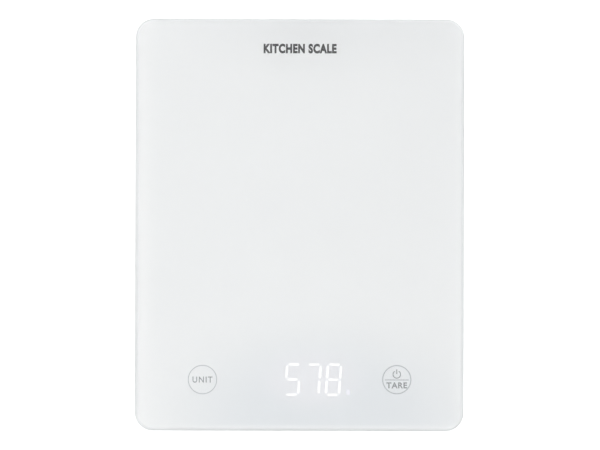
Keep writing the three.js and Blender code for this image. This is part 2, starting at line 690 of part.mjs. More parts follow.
// The upright end of a lead, where it is soldered to the board's underside.
const joint = (x, y) => [
  [x, y, BOARD_UNDERSIDE - 1.6],
  [x, y, BOARD_UNDERSIDE - 0.2],
];

// From the middle of each load cell, over its holder, along the floor beside the battery bay, to the board.
function cellLead(sideX, sideY) {
  const onCell = CELL_BOTTOM + CELL_THICKNESS + WIRE_RADIUS + 0.1;
  const overHolder = HOLDER_BOTTOM + HOLDER_THICKNESS + WIRE_RADIUS + 0.35;
  const onFloor = SHELL_FLOOR + WIRE_RADIUS + 0.7;
  const start = [
    [FOOT_X - 4, sideY * (FOOT_Y - 5), onCell],
    [FOOT_X - 6.5, sideY * (FOOT_Y - 5.5), onCell + 0.5],
    [FOOT_X - 8.5, sideY * (FOOT_Y - 6), overHolder],
    [FOOT_X - 14, sideY * (FOOT_Y - 7.5), overHolder],
  ];
  const front = [
    [42, -75, 7.6],
    [35, -73.5, 7.8],
    ...joint(31, -73),
  ];
  const rear = [
    [44.5, 70, 6.4],
    [45.5, 60, onFloor],
    [45.5, 30, onFloor],
    [44.5, 0, onFloor],
    [45.5, -30, onFloor],
    [42.5, -50, onFloor + 0.8],
    [32, -63, 7],
    ...joint(24.5, -70),
  ];
  const points = [...start, ...(sideY < 0 ? front : rear)].map(([x, y, z]) => [sideX * x, y, z]);
  return swept(ribbonSection(), smoothCurve(points), sideY < 0 ? 14 : 26);
}

// From a contact's tab, past the bay, over the rib on the floor, to the board.
function batteryLead(end) {
  const row = BAY_Y + end * BATTERY_PITCH;
  const tabX = BAY_LENGTH / 2 + BAY_WALL + 1.3;
  const tabUnderside = CONTACT_TAB_Z - CONTACT_THICKNESS / 2;
  const points = [
    [tabX, row, tabUnderside - 0.15],
    [tabX, row, tabUnderside - 1.2],
    [tabX + 2.6, row - 6, 6.6],
    [33.5, BAY_Y - 24, 6],
    [31, -40, 7.4],
    [22, -56, 7.6],
    ...joint(14, -68),
  ].map(([x, y, z]) => [end * x, y, z]);
  return swept(regularSection(WIRE_RADIUS + 0.1, 6), smoothCurve(points), 24);
}

// ---- Assembly -------------------------------------------------------------------------------------
addPiece("glass_platform", glassPlatform(), GLASS);
addPiece("platform_tape", platformTape(), TAPE);
addPiece("upper_frame", upperFrame(), WHITE_PLASTIC);
addPiece("bottom_shell", bottomShell(), WHITE_PLASTIC);
addPiece("battery_door", batteryDoor(), WHITE_PLASTIC);

const shellScrew = crossScrew(2.6, 1.8, 1.25, 6.6);
SHELL_SCREWS.forEach(([x, y], i) => {
  addPiece(`shell_screw_${i + 1}`, shellScrew, STEEL, [x, y, SCREW_LEDGE[0] - 1.8 - JOINT_GAP]);
});

const holderScrew = turnedOver(crossScrew(1.9, 1.2, 0.8, 3.4));
const screwHeadTop = HOLDER_BOTTOM + HOLDER_THICKNESS + JOINT_GAP + 1.2;
CORNERS.forEach(([corner, sideX, sideY]) => {
  const group = new THREE.Group();
  group.position.set(sideX * FOOT_X, sideY * FOOT_Y, 0);
  scale.add(group);
  addPiece(`foot_${corner}`, foot(), WHITE_PLASTIC, [0, 0, 0], group);
  addPiece(`foot_pad_${corner}`, footPad(), RUBBER, [0, 0, 0], group);
  addPiece(`load_cell_${corner}`, sideY > 0 ? loadCell() : loadCell().rotate([0, 0, 180]), STEEL, [0, 0, 0], group);
  addPiece(`cell_holder_${corner}`, cellHolder(-sideX, -sideY), WHITE_PLASTIC, [0, 0, 0], group);
  addPiece(`holder_screw_${corner}_a`, holderScrew, STEEL, [-sideX * HOLDER_EAR, 0, screwHeadTop], group);
  addPiece(`holder_screw_${corner}_b`, holderScrew, STEEL, [0, -sideY * HOLDER_EAR, screwHeadTop], group);
  addPiece(`cell_lead_${corner}`, cellLead(sideX, sideY), INSULATION.sensor);
});

addPiece("main_board", mainBoard(), BOARD);
addPiece("controller_chip", block(-14, BOARD_Y + 2, 9, 9, BOARD_UNDERSIDE - 1.35, BOARD_UNDERSIDE - JOINT_GAP), CHIP);
addPiece("display_module", displayModule(), DISPLAY, [DISPLAY_X, KEY_Y, 0]);
addPiece("display_film", displayFilm(), FILM, [DISPLAY_X, KEY_Y, 0]);
addPiece("touch_spring_unit", touchSpring(), NICKEL, [-KEY_X, KEY_Y, 0]);
addPiece("touch_spring_tare", touchSpring(), NICKEL, [KEY_X, KEY_Y, 0]);

const boardScrew = crossScrew(1.9, 1.2, 0.8, 3);
BOARD_SCREWS.forEach(([x, y], i) => {
  addPiece(`board_screw_${i + 1}`, boardScrew, STEEL, [x, y, BOARD_UNDERSIDE - 1.2 - JOINT_GAP]);
});

const nubShift = NUB_X - BATTERY_LENGTH / 2;
[1, -1, 1].forEach((direction, i) => {
  const cell = direction > 0 ? battery() : battery().rotate([0, 0, 180]);
  const y = BAY_Y + (i - 1) * BATTERY_PITCH;
  addPiece(`battery_${i + 1}`, cell, JACKET, [direction * nubShift, y, BATTERY_Z]);
});

const bayPosition = [0, BAY_Y, 0];
const negative = join(contactPlate(-1, [-1]), contactSpring(-1, -1), contactTab(-1, -1));
const positive = join(contactPlate(1, [1]), contactTab(1, 1));
const rightLink = join(contactPlate(1, [-1, 0]), contactSpring(1, 0));
const leftLink = join(contactPlate(-1, [0, 1]), contactSpring(-1, 1));
addPiece("battery_contact_negative", negative, NICKEL, bayPosition);
addPiece("battery_contact_positive", positive, NICKEL, bayPosition);
addPiece("battery_contact_link_right", rightLink, NICKEL, bayPosition);
addPiece("battery_contact_link_left", leftLink, NICKEL, bayPosition);
addPiece("battery_lead_negative", batteryLead(-1), INSULATION.minus);
addPiece("battery_lead_positive", batteryLead(1), INSULATION.plus);

export default scale;
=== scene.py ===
import json
from math import cos, pi, radians, sin, sqrt

import bmesh
import bpy
from mathutils import Matrix, Vector


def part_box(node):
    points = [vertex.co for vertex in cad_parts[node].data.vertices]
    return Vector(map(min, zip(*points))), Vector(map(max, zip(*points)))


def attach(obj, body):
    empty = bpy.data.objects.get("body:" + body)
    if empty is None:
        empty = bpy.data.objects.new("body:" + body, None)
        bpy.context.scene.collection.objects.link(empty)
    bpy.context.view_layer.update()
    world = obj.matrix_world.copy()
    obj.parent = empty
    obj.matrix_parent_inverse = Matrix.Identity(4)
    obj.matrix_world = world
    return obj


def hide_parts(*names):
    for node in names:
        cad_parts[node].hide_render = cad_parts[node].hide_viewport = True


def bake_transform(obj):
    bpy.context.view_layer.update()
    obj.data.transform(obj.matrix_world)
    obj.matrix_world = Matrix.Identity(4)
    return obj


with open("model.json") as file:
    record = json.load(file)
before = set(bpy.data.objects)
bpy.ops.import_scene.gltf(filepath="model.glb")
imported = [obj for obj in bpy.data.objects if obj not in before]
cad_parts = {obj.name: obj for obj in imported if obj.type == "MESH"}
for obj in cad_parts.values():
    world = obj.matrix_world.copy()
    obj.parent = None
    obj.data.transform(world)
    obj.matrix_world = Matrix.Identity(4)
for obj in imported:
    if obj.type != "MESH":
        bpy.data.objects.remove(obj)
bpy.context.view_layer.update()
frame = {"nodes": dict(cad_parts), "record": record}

MM = 0.001
HOUSING = "housing"
CORNERS = {"front_left": (-1, -1), "front_right": (1, -1), "rear_left": (-1, 1), "rear_right": (1, 1)}
SIDES = (-1, 1)


def box(node):
    """Lowest and highest corner of a CAD node, in millimetres."""
    low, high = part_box(node)
    return low / MM, high / MM


def middle(node):
    low, high = box(node)
    return (low + high) / 2


# ---- Sizes ----
GLASS_LOW, GLASS_HIGH = box("glass_platform")
WIDTH, DEPTH, _ = GLASS_HIGH - GLASS_LOW
TOP = GLASS_HIGH.z
GLASS_BOTTOM = GLASS_LOW.z
FRAME_TOP = box("upper_frame")[1].z
SHELL_LOW, SHELL_HIGH = box("bottom_shell")
HOUSING_WIDTH, HOUSING_DEPTH, _ = SHELL_HIGH - SHELL_LOW
SHELL_BOTTOM = SHELL_LOW.z
DOOR_LOW, DOOR_HIGH = box("battery_door")
DOOR_LENGTH = DOOR_HIGH.x - DOOR_LOW.x
DOOR_FRONT = DOOR_LOW.y
KEY_X, KEY_Y, _ = middle("touch_spring_tare")
FOOT_X, FOOT_Y, _ = middle("foot_rear_right")
CELL_BOTTOM = box("load_cell_rear_right")[0].z
BOARD_LOW, BOARD_HIGH = box("main_board")

# Shape details that the boxes don't give.
CORNER_RADIUS = 10
PENCIL_RADIUS = 1.8  # the glass's ground edge
HOUSING_RADIUS = 7.5
WALL = 1.8
SHELL_FLOOR = SHELL_BOTTOM + WALL
PARTING = 10.6  # top of the shell's side
SEAM = 0.3
LIP_INSET = 1
LIP_HEIGHT = 1.4
BELLY_RUN = 12  # how far the shell's side curves in on its way down
BELLY_RADIUS_GAIN = 3
FRAME_PLATE = 1.2
THROUGH = 0.5  # how far a cutter runs past a face
BELOW = SHELL_BOTTOM - THROUGH
ROOT = SHELL_BOTTOM + 1  # where walls and bosses start, inside the shell's floor
FOOT_RADIUS = 9
FLANGE_RADIUS = 10.2
FIT_GAP = 0.3
BAY_Y = 10
BAY_LENGTH = 51.6
BAY_WIDTH = 34
BAY_WALL = 1.2
BAY_ROOF = 0.8
DOOR_WIDTH = 43
DOOR_THICKNESS = 1.4
DOOR_BACK = DOOR_FRONT + DOOR_WIDTH
LEDGE = SHELL_BOTTOM + DOOR_THICKNESS + 0.1
LEDGE_THICKNESS = 1.6
TAB_X = 17
TAB_WIDTH = 8
LATCH_WIDTH = 14
LATCH_Y = BAY_Y - BAY_WIDTH / 2 - 0.4
BATTERY_PITCH = 11

# The back print is bonded to the glass, so it starts a hair inside it, and the marks lie on the print.
PRINT_LOW = GLASS_BOTTOM + 0.03
PRINT_HIGH = GLASS_BOTTOM + 0.07
MARK_HIGH = GLASS_BOTTOM + 0.09
MARK = (PRINT_HIGH, MARK_HIGH)


# ---- Meshes ----
def linked(name, data):
    """A new object in the scene that shows this mesh, curve, lamp or camera."""
    made = bpy.data.objects.new(name, data)
    bpy.context.scene.collection.objects.link(made)
    return made


def to_mesh(bm, name):
    mesh = bpy.data.meshes.new(name)
    bm.to_mesh(mesh)
    bm.free()
    return mesh


def evaluated(made):
    """A bmesh of an object's shape, with its modifiers applied."""
    bpy.context.view_layer.update()
    mesh = bpy.data.meshes.new_from_object(made.evaluated_get(bpy.context.evaluated_depsgraph_get()))
    bm = bmesh.new()
    bm.from_mesh(mesh)
    bpy.data.meshes.remove(mesh)
    return bm


def rectangle(width, depth, radius=0.0, steps=16):
    """Points of a rectangle, anticlockwise; round corners take steps + 1 points each."""
    shares = [step / steps for step in range(steps + 1)] if radius else [0]
    points = []
    for quarter, (side_x, side_y) in enumerate(((1, -1), (1, 1), (-1, 1), (-1, -1))):
        centre_x = side_x * (width / 2 - radius)
        centre_y = side_y * (depth / 2 - radius)
        for share in shares:
            angle = radians(90 * (quarter - 1 + share))
            points.append((centre_x + radius * cos(angle), centre_y + radius * sin(angle)))
    return points


def circle(radius, sides):
    angles = [2 * pi * i / sides for i in range(sides)]
    return [(radius * cos(angle), radius * sin(angle)) for angle in angles]


def at_height(outline, z):
    return [(x, y, z) for x, y in outline]


def lofted(rings, closed=False):
    """A solid through rings of equally many points; closed joins the last ring to the first."""
    bm = bmesh.new()
    loops = [[bm.verts.new(point) for point in ring] for ring in rings]
    count = len(loops[0])
    if closed:
        loops.append(loops[0])
    else:
        bm.faces.new(reversed(loops[0]))
        bm.faces.new(loops[-1])
    for low, high in zip(loops, loops[1:]):
        for i in range(count):
            j = (i + 1) % count
            bm.faces.new((low[i], low[j], high[j], high[i]))
    bmesh.ops.recalc_face_normals(bm, faces=bm.faces)
    return bm


def extruded(outline, bottom, top):
    return lofted([at_height(outline, bottom), at_height(outline, top)])


def fillet(centre_radius, centre_z, radius, start, stop, steps=4):
    """Profile points round an arc, between two angles in degrees."""
    angles = [radians(start + (stop - start) * i / steps) for i in range(steps + 1)]
    return [(centre_radius + radius * cos(a), centre_z + radius * sin(a)) for a in angles]


def turned(profile, sides):
    """A solid turned about Z from (radius, height) pairs, with flat ends."""
    return lofted([at_height(circle(radius, sides), z) for radius, z in profile])


def washer(inner, outer, bottom, top, sides):
    corners = ((inner, bottom), (outer, bottom), (outer, top), (inner, top))
    return lofted([at_height(circle(radius, sides), z) for radius, z in corners], closed=True)


def arc_band(inner, outer, bottom, top, start, stop):
    """Part of a flat ring, between two angles in degrees."""
    steps = 40
    angles = [radians(start + (stop - start) * i / steps) for i in range(steps + 1)]
    corners = ((inner, bottom), (outer, bottom), (outer, top), (inner, top))
    return lofted([[(r * cos(a), r * sin(a), z) for r, z in corners] for a in angles])


def tube(points, radius):
    """A round wire along a list of points."""
    points = [Vector(point) for point in points]
    ends = [points[0] * 2 - points[1], *points, points[-1] * 2 - points[-2]]
    across = None
    rings = []
    for before, point, after in zip(ends, points, ends[2:]):
        along = (after - before).normalized()
        across = along.orthogonal() if across is None else across - along * across.dot(along)
        across.normalize()
        up = along.cross(across)
        rings.append([point + (across * x + up * y) * radius for x, y in circle(1, 10)])
    return lofted(rings)


def coil(bottom_radius, top_radius, bottom, top, turns, wire):
    """A spring about Z that may narrow towards its top."""
    steps = round(24 * turns)
    points = []
    for step in range(steps + 1):
        share = step / steps
        radius = bottom_radius + (top_radius - bottom_radius) * share
        angle = 2 * pi * turns * share
        points.append((radius * cos(angle), radius * sin(angle), bottom + (top - bottom) * share))
    return tube(points, wire)


def moved(bm, x=0.0, y=0.0, z=0.0):
    bmesh.ops.translate(bm, verts=bm.verts, vec=(x, y, z))
    return bm


def rotated(bm, axis, degrees):
    bmesh.ops.rotate(bm, verts=bm.verts, matrix=Matrix.Rotation(radians(degrees), 3, axis))
    return bm


def block(x, y, width, depth, bottom, top, radius=0.0, steps=6):
    return moved(extruded(rectangle(width, depth, radius, steps), bottom, top), x, y)


def post(x, y, radius, bottom, top, sides):
    return moved(turned([(radius, bottom), (radius, top)], sides), x, y)


def posts(places, *size):
    return [post(x, y, *size) for x, y in places]


def merged(*shapes):
    """Several bmeshes as one, with no boolean."""
    whole, *others = shapes
    for other in others:
        mesh = to_mesh(other, "other")
        whole.from_mesh(mesh)
        bpy.data.meshes.remove(mesh)
    return whole


def carved(shape, joined=(), removed=()):
    """A bmesh joined with others, and then cut by others."""
    base = linked("scratch", to_mesh(shape, "scratch"))
    used = [base]
    for operation, others in (("UNION", joined), ("DIFFERENCE", removed)):
        for other in others:
            tool = linked("scratch", to_mesh(other, "scratch"))
            used.append(tool)
            change = base.modifiers.new(operation, "BOOLEAN")
            change.operation = operation
            change.object = tool
            change.solver = "MANIFOLD"
    bm = evaluated(base)
    for made in used:
        bpy.data.meshes.remove(made.data)
    return bm


def smooth(made, degrees=32):
    """Smooth shading, with sharp edges over this angle."""
    mesh = made.data
    mesh.polygons.foreach_set("use_smooth", [True] * len(mesh.polygons))
    mesh.set_sharp_from_angle(angle=radians(degrees))
    weighted = made.modifiers.new("weighted", "WEIGHTED_NORMAL")
    weighted.keep_sharp = True


def piece(name, shape, material, body=HOUSING, replaces=()):
    """Makes a piece from a bmesh in millimetres, and puts it on its body if it has just one."""
    mesh = to_mesh(shape, name)
    mesh.transform(Matrix.Scale(MM, 4))
    mesh.materials.append(material)
    made = linked(name, mesh)
    smooth(made)
    if body:
        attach(made, body)
    if replaces:
        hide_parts(*replaces)
    return made


# ---- Shader nodes ----
class Nodes:
    """A node tree, with short ways to add to it."""

    def __init__(self, owner):
        owner.use_nodes = True
        self.tree = owner.node_tree

    def feed(self, socket, value):
        """Links another node's output to a socket, or sets the socket's value."""
        if isinstance(value, bpy.types.NodeSocket):
            self.tree.links.new(value, socket)
        elif socket.type == "RGBA":
            socket.default_value = (*value, 1)
        else:
            socket.default_value = value

    def node(self, kind, inputs=(), **settings):
        made = self.tree.nodes.new("ShaderNode" + kind)
        for name, value in settings.items():
            setattr(made, name, value)
        for socket, value in dict(inputs).items():
            self.feed(made.inputs[socket], value)
        return made

    def math(self, operation, first, second):
        return self.node("Math", {0: first, 1: second}, operation=operation).outputs["Value"]

    def vector(self, operation, first, second=(0, 0, 0), output="Vector"):
        return self.node("VectorMath", {0: first, 1: second}, operation=operation).outputs[output]

    def between(self, factor, low, high, start=0.3, stop=0.7, kind="LINEAR"):
        """A value from low to high while the factor goes from start to stop."""
        inputs = {"Value": factor, "From Min": start, "From Max": stop, "To Min": low, "To Max": high}
        return self.node("MapRange", inputs, interpolation_type=kind).outputs["Result"]


class Paint(Nodes):
    """A Principled material, and the nodes that vary it over the surface."""

    def __init__(self, name, **values):
        self.material = bpy.data.materials.new(name)
        super().__init__(self.material)
        self.shader = self.tree.nodes["Principled BSDF"]
        for socket, value in values.items():
            self.set(socket.replace("_", " ").title().replace("Ior", "IOR"), value)

    def set(self, socket, value):
        self.feed(self.shader.inputs[socket], value)

    def place(self, stretch=(1, 1, 1)):
        """The point on the surface, in millimetres, drawn out along some axes."""
        point = self.node("TexCoord").outputs["Object"]
        scale = [1 / MM / share for share in stretch]
        return self.node("Mapping", {"Vector": point, "Scale": scale}).outputs["Vector"]

    def noise(self, size, detail=3, roughness=0.5, stretch=(1, 1, 1)):
        """Cloudy noise from 0 to 1, with patches about size millimetres across."""
        inputs = {"Vector": self.place(stretch), "Scale": 1 / size, "Detail": detail, "Roughness": roughness}
        return self.node("TexNoise", inputs).outputs["Fac"]

    def cells(self, size, output="Distance"):
        """Cells about size millimetres across: the distance to the middle, or a colour each."""
        return self.node("TexVoronoi", {"Vector": self.place(), "Scale": 1 / size}).outputs[output]

    def mix(self, factor, first, second):
        return self.node("Mix", {0: factor, 6: first, 7: second}, data_type="RGBA").outputs[2]

    def colour(self, factor, first, second):
        """Lets the base colour go from first to second with the factor."""
        self.set("Base Color", self.mix(self.between(factor, 0.0, 1.0), first, second))

    def roughness(self, factor, low, high, start=0.3, stop=0.7):
        self.set("Roughness", self.between(factor, low, high, start, stop))

    def relief(self, height, depth, strength):
        """Fine relief from a height of 0 to 1 that is depth millimetres deep."""
        bump = self.node("Bump", {"Height": height, "Distance": depth * MM, "Strength": strength})
        self.set("Normal", bump.outputs["Normal"])

    def zone(self, centre, half_size, edge):
        """1 inside a soft ellipse on the XY plane, falling to 0 outside; edge is its softness."""
        from_middle = self.vector("SUBTRACT", self.place(), (*centre, 0))
        scaled = self.vector("MULTIPLY", from_middle, (1 / half_size[0], 1 / half_size[1], 0))
        length = self.vector("LENGTH", scaled, output="Value")
        return self.between(length, 1.0, 0.0, 1 - edge, 1 + edge, "SMOOTHSTEP")

    def outside(self, centre, half_size, run):
        """1 outside a rectangle on the XY plane, falling to 0 over run millimetres inside it."""
        from_middle = self.vector("SUBTRACT", self.place(), (*centre, 0))
        past_side = self.vector("SUBTRACT", self.vector("ABSOLUTE", from_middle), (*half_size, 0))
        parts = self.node("SeparateXYZ", {"Vector": self.vector("DIVIDE", past_side, (*run, 1))}).outputs
        return self.between(self.math("MAXIMUM", parts["X"], parts["Y"]), 0.0, 1.0, -1.0, 0.0, "SMOOTHSTEP")


def grey(level, warm=0.0):
    """A near-neutral colour in linear light; warm is positive towards yellow."""
    return (level * (1 + warm), level, level * (1 - warm))


# ---- Materials ----
def clear_glass():
    paint = Paint("clear_glass", base_color=(0.985, 0.995, 0.992), transmission_weight=1.0, ior=1.52)
    smears = paint.noise(34, detail=5, roughness=0.6, stretch=(1, 2.2, 1))
    paint.roughness(smears, 0.0, 0.03, 0.55, 0.8)
    return paint.material


def ground_glass():
    """The plate's edge: ground with a fine wheel and left satin."""
    paint = Paint("ground_glass", transmission_weight=0.9, ior=1.52)
    marks = paint.noise(0.5, detail=4, roughness=0.6, stretch=(4, 4, 0.6))
    paint.colour(marks, (0.81, 0.825, 0.83), (0.86, 0.87, 0.873))
    paint.roughness(marks, 0.3, 0.45)
    paint.relief(marks, 0.012, 0.5)
    return paint.material


def white_print_and_painted_light():
    """Screen-printed white, with painted light and shade: painted shade makes it cooler and darker round the
    display and at the back, a painted glow lightens it round the lit digits, and painted light makes it paler
    along its sides.
    """
    paint = Paint("white_print_and_painted_light")
    mottle = paint.between(paint.noise(60, detail=2), 0.0, 1.0)
    base = paint.mix(mottle, (0.93, 0.936, 0.943), (0.94, 0.945, 0.951))
    # painted shade: the print darker and slightly cooler towards the back
    back = paint.mix(paint.zone((20, 122), (85, 28), 0.6), base, (0.90, 0.907, 0.916))
    # painted shade: the print darker and cooler round the display, standing in for the display module's
    # shadow
    painted_display_shade = paint.mix(paint.zone((14, -112), (66, 44), 0.55), back, (0.851, 0.873, 0.896))
    # painted light: a paler, bluish glow on the print round the lit digits
    painted_digit_glow = paint.mix(paint.zone((7.5, KEY_Y), (24, 14), 0.5), painted_display_shade, (0.903, 0.904, 0.928))
    # painted light: the print paler along its sides, standing in for light gathered by the glass's edge
    edge = paint.outside((3, 2), (WIDTH / 2 - PENCIL_RADIUS, DEPTH / 2 + PENCIL_RADIUS), run=(9, 4.5))
    paint.set("Base Color", paint.mix(edge, painted_digit_glow, (0.964, 0.966, 0.97)))
    grain = paint.noise(0.35, detail=2)
    paint.roughness(grain, 0.46, 0.58)
    paint.relief(grain, 0.004, 0.4)
    return paint.material


def ink(name, level):
    paint = Paint(name)
    grain = paint.noise(0.3)
    paint.colour(grain, grey(level * 0.94, -0.04), grey(level, -0.04))
    paint.roughness(grain, 0.55, 0.68)
    paint.relief(grain, 0.003, 0.3)
    return paint.material


def lit_segment(name, light, strength):
    paint = Paint(name, base_color=grey(0.9), emission_color=light, emission_strength=strength)
    paint.roughness(paint.noise(0.5, detail=2), 0.4, 0.6)
    return paint.material


def moulded_plastic(name, light, dark, roughness=0.42, grain_size=0.32, depth=0.02):
    """Moulded plastic with a fine spark-eroded texture and a faint flow pattern."""
    paint = Paint(name, specular_ior_level=0.45)
    grain = paint.noise(grain_size, roughness=0.6)
    paint.colour(paint.noise(45, detail=2), dark, light)
    paint.roughness(grain, roughness - 0.06, roughness + 0.08)
    paint.relief(grain, depth, 0.35)
    return paint.material


def soft_rubber():
    """Matt grey rubber with fine specks and a little dust."""
    paint = Paint("grey_rubber", specular_ior_level=0.3)
    dust = paint.noise(3.2, detail=5, roughness=0.65)
    worn = paint.mix(paint.between(dust, 0.0, 1.0, 0.45, 0.75), (0.33, 0.345, 0.36), (0.42, 0.43, 0.435))
    paint.set("Base Color", worn)
    paint.roughness(dust, 0.78, 0.92)
    paint.relief(paint.noise(0.25, detail=4, roughness=0.7), 0.03, 0.6)
    return paint.material


def plated_steel(name, colour, dark, roughness, stretch=(9, 1, 1)):
    """Plated metal with fine rolling lines and cloudy patches."""
    paint = Paint(name, metallic=1.0)
    clouds = paint.noise(2.4, detail=4, roughness=0.6)
    paint.colour(clouds, dark, colour)
    paint.roughness(clouds, roughness - 0.07, roughness + 0.12, 0.25, 0.75)
    paint.relief(paint.noise(0.16, detail=4, roughness=0.6, stretch=stretch), 0.008, 0.5)
    return paint.material


def foam_tape():
    """White foam: small closed cells, a little open at the cut edge."""
    paint = Paint("white_tape", specular_ior_level=0.2)
    cells = paint.cells(0.28)
    paint.colour(paint.noise(6), (0.66, 0.67, 0.68), (0.74, 0.75, 0.75))
    paint.roughness(cells, 0.8, 0.95, 0.0, 0.6)
    paint.relief(cells, 0.08, 0.8)
    return paint.material


def wave(paint, scale, direction):
    """Parallel bands from 0 to 1, 0.314 / scale millimetres apart."""
    inputs = {"Vector": paint.place(), "Scale": scale}
    return paint.node("TexWave", inputs, bands_direction=direction).outputs["Fac"]


def circuit_board():
    """Green solder mask, paler over the copper tracks, which run two ways in patches."""
    paint = Paint("circuit_board", specular_ior_level=0.5)
    patch = paint.between(paint.cells(11, output="Color"), 0.0, 1.0, 0.49, 0.51)
    runs = [paint.between(wave(paint, 0.24, direction), 0.0, 1.0, 0.8, 0.9) for direction in "XY"]
    tracks = paint.node("Mix", {0: patch, 2: runs[0], 3: runs[1]}).outputs[0]
    cloud = paint.noise(9)
    mask = paint.mix(paint.between(cloud, 0.0, 1.0), (0.012, 0.085, 0.032), (0.016, 0.11, 0.042))
    paint.set("Base Color", paint.mix(tracks, mask, (0.03, 0.19, 0.07)))
    paint.roughness(cloud, 0.26, 0.38)
    paint.relief(tracks, 0.035, 0.7)
    return paint.material


def display_film():
    """Thin translucent film that evens out the light of the segments."""
    paint = Paint("display_film", specular_ior_level=0.4)
    cloud = paint.noise(7)
    paint.colour(cloud, (0.80, 0.81, 0.82), (0.85, 0.86, 0.87))
    paint.roughness(cloud, 0.28, 0.4)
    paint.relief(paint.noise(0.4), 0.004, 0.4)
    return paint.material


def foil_jacket(name, colour, dark, metallic=0.7):
    """The printed metal foil round a battery."""
    paint = Paint(name, metallic=metallic)
    scuffs = paint.noise(0.7, detail=5, roughness=0.7, stretch=(6, 1, 1))
    paint.colour(paint.noise(5), dark, colour)
    paint.roughness(scuffs, 0.24, 0.42, 0.4, 0.75)
    paint.relief(scuffs, 0.006, 0.4)
    return paint.material


def insulation(name, light, dark):
    """Soft wire insulation with a faint waxy unevenness."""
    paint = Paint(name, specular_ior_level=0.4)
    cloud = paint.noise(1.6, stretch=(1, 3, 1))
    paint.colour(cloud, dark, light)
    paint.roughness(cloud, 0.38, 0.55)
    paint.relief(cloud, 0.02, 0.4)
    return paint.material


def gauge_film():
    """Amber film with the fine metal grid of a strain gauge inside it."""
    paint = Paint("gauge_film", specular_ior_level=0.5)
    lines = paint.between(wave(paint, 1.1, "X"), 0.0, 1.0, 0.45, 0.6)
    paint.set("Base Color", paint.mix(lines, (0.50, 0.21, 0.035), (0.62, 0.42, 0.22)))
    paint.roughness(paint.noise(0.8), 0.22, 0.36)
    paint.relief(lines, 0.01, 0.5)
    return paint.material


PALE_INK = ink("pale_ink", 0.56)
GREY_INK = ink("grey_ink", 0.30)
SLATE_INK = ink("slate_ink", 0.022)
LIT_SEGMENT = lit_segment("lit_segment", (1.0, 1.0, 1.0), 0.33)
DIM_SEGMENT = lit_segment("dim_segment", (0.65, 0.65, 1.0), 0.31)
SIGN_INK = ink("battery_sign_ink", 0.8)
BATTERY_BAND = foil_jacket("battery_band", (0.62, 0.63, 0.64), (0.54, 0.55, 0.57), metallic=0.85)
GAUGE_FILM = gauge_film()
SOLDER = plated_steel("solder", (0.60, 0.61, 0.62), (0.48, 0.49, 0.51), 0.3, stretch=(1, 1, 1))
MATERIALS = {
    "clear_glass": clear_glass(),
    "white_tape": foam_tape(),
    "white_plastic": moulded_plastic("white_plastic", (0.68, 0.69, 0.697), (0.65, 0.66, 0.668)),
    "grey_rubber": soft_rubber(),
    "steel": plated_steel("zinc_steel", (0.58, 0.60, 0.63), (0.44, 0.46, 0.50), 0.32),
    "nickel": plated_steel("nickel", (0.74, 0.72, 0.68), (0.62, 0.60, 0.57), 0.2),
    "circuit_board": circuit_board(),
    "black_plastic": moulded_plastic("black_epoxy", (0.022, 0.022, 0.024), (0.014, 0.014, 0.016), 0.5, 0.18),
    "display_housing": moulded_plastic(
        "display_housing", (0.82, 0.83, 0.84), (0.79, 0.80, 0.81), 0.35, 0.5, 0.01
    ),
    "display_film": display_film(),
    "battery_jacket": foil_jacket("battery_jacket", (0.035, 0.06, 0.11), (0.022, 0.04, 0.075)),
    "pale_insulation": insulation("pale_insulation", (0.70, 0.70, 0.68), (0.60, 0.60, 0.585)),
    "red_insulation": insulation("red_insulation", (0.50, 0.03, 0.022), (0.38, 0.02, 0.016)),
    "black_insulation": insulation("black_insulation", (0.022, 0.022, 0.024), (0.014, 0.014, 0.015)),
}
SLOT_OF = {part["node"]: part["material_slot"] for part in frame["record"]["subparts"]}


def replacement(node, shape, body=HOUSING, name=None):
    """A detailed piece that stands for one CAD node, in the node's own slot."""
    slot = SLOT_OF[node]
    return piece(name or f"{node}_detailed", shape, MATERIALS[slot], body, replaces=[node])


# ---- Platform ----
def glass_outline(inset):
    return rectangle(WIDTH - 2 * inset, DEPTH - 2 * inset, CORNER_RADIUS - inset, 24)


def glass_plate():
    """The weighing platform: clear glass with a ground, rounded edge."""
    profile = [
        *fillet(-PENCIL_RADIUS, GLASS_BOTTOM + PENCIL_RADIUS, PENCIL_RADIUS, -90, 0, 10),
        *fillet(-PENCIL_RADIUS, TOP - PENCIL_RADIUS, PENCIL_RADIUS, 0, 90, 10),
    ]
    return lofted([at_height(glass_outline(-reach), z) for reach, z in profile])


def back_print():
    return extruded(glass_outline(PENCIL_RADIUS - 0.3), PRINT_LOW, PRINT_HIGH)


def text_shape(words, width, height, spacing=1.0, bold=0.0):
    """Plain lettering as flat shapes, centred on the origin, width by height in millimetres."""
    curve = bpy.data.curves.new(words, "FONT")
    curve.body = words
    curve.space_character = spacing
    curve.offset = bold
    curve.extrude = 0.01
    curve.resolution_u = 6
    written = linked(words, curve)
    bm = evaluated(written)
    bpy.data.objects.remove(written)
    low = [min(v.co[i] for v in bm.verts) for i in range(3)]
    high = [max(v.co[i] for v in bm.verts) for i in range(3)]
    sizes = (width, height, MARK_HIGH - PRINT_HIGH)
    for vertex in bm.verts:
        for i in range(3):
            share = (vertex.co[i] - low[i]) / (high[i] - low[i])
            vertex.co[i] = (share - (0.5 if i < 2 else 0)) * sizes[i]
    return moved(bm, z=PRINT_HIGH)


def bar(width, depth, x, y):
    """A printed bar with slightly rounded ends."""
    return block(x, y, width, depth, *MARK, min(width, depth) * 0.2, 3)


KEY_RADIUS = 8
MARK_Y = KEY_Y - 0.4  # the marks sit a little in front of the springs below them
TARE_X = KEY_X + 0.5
TARE_Y = MARK_Y + 0.25


def key_ring(name, x, y, line):
    ring = washer(KEY_RADIUS - line, KEY_RADIUS, *MARK, sides=96)
    piece(name, moved(ring, x, y), PALE_INK)


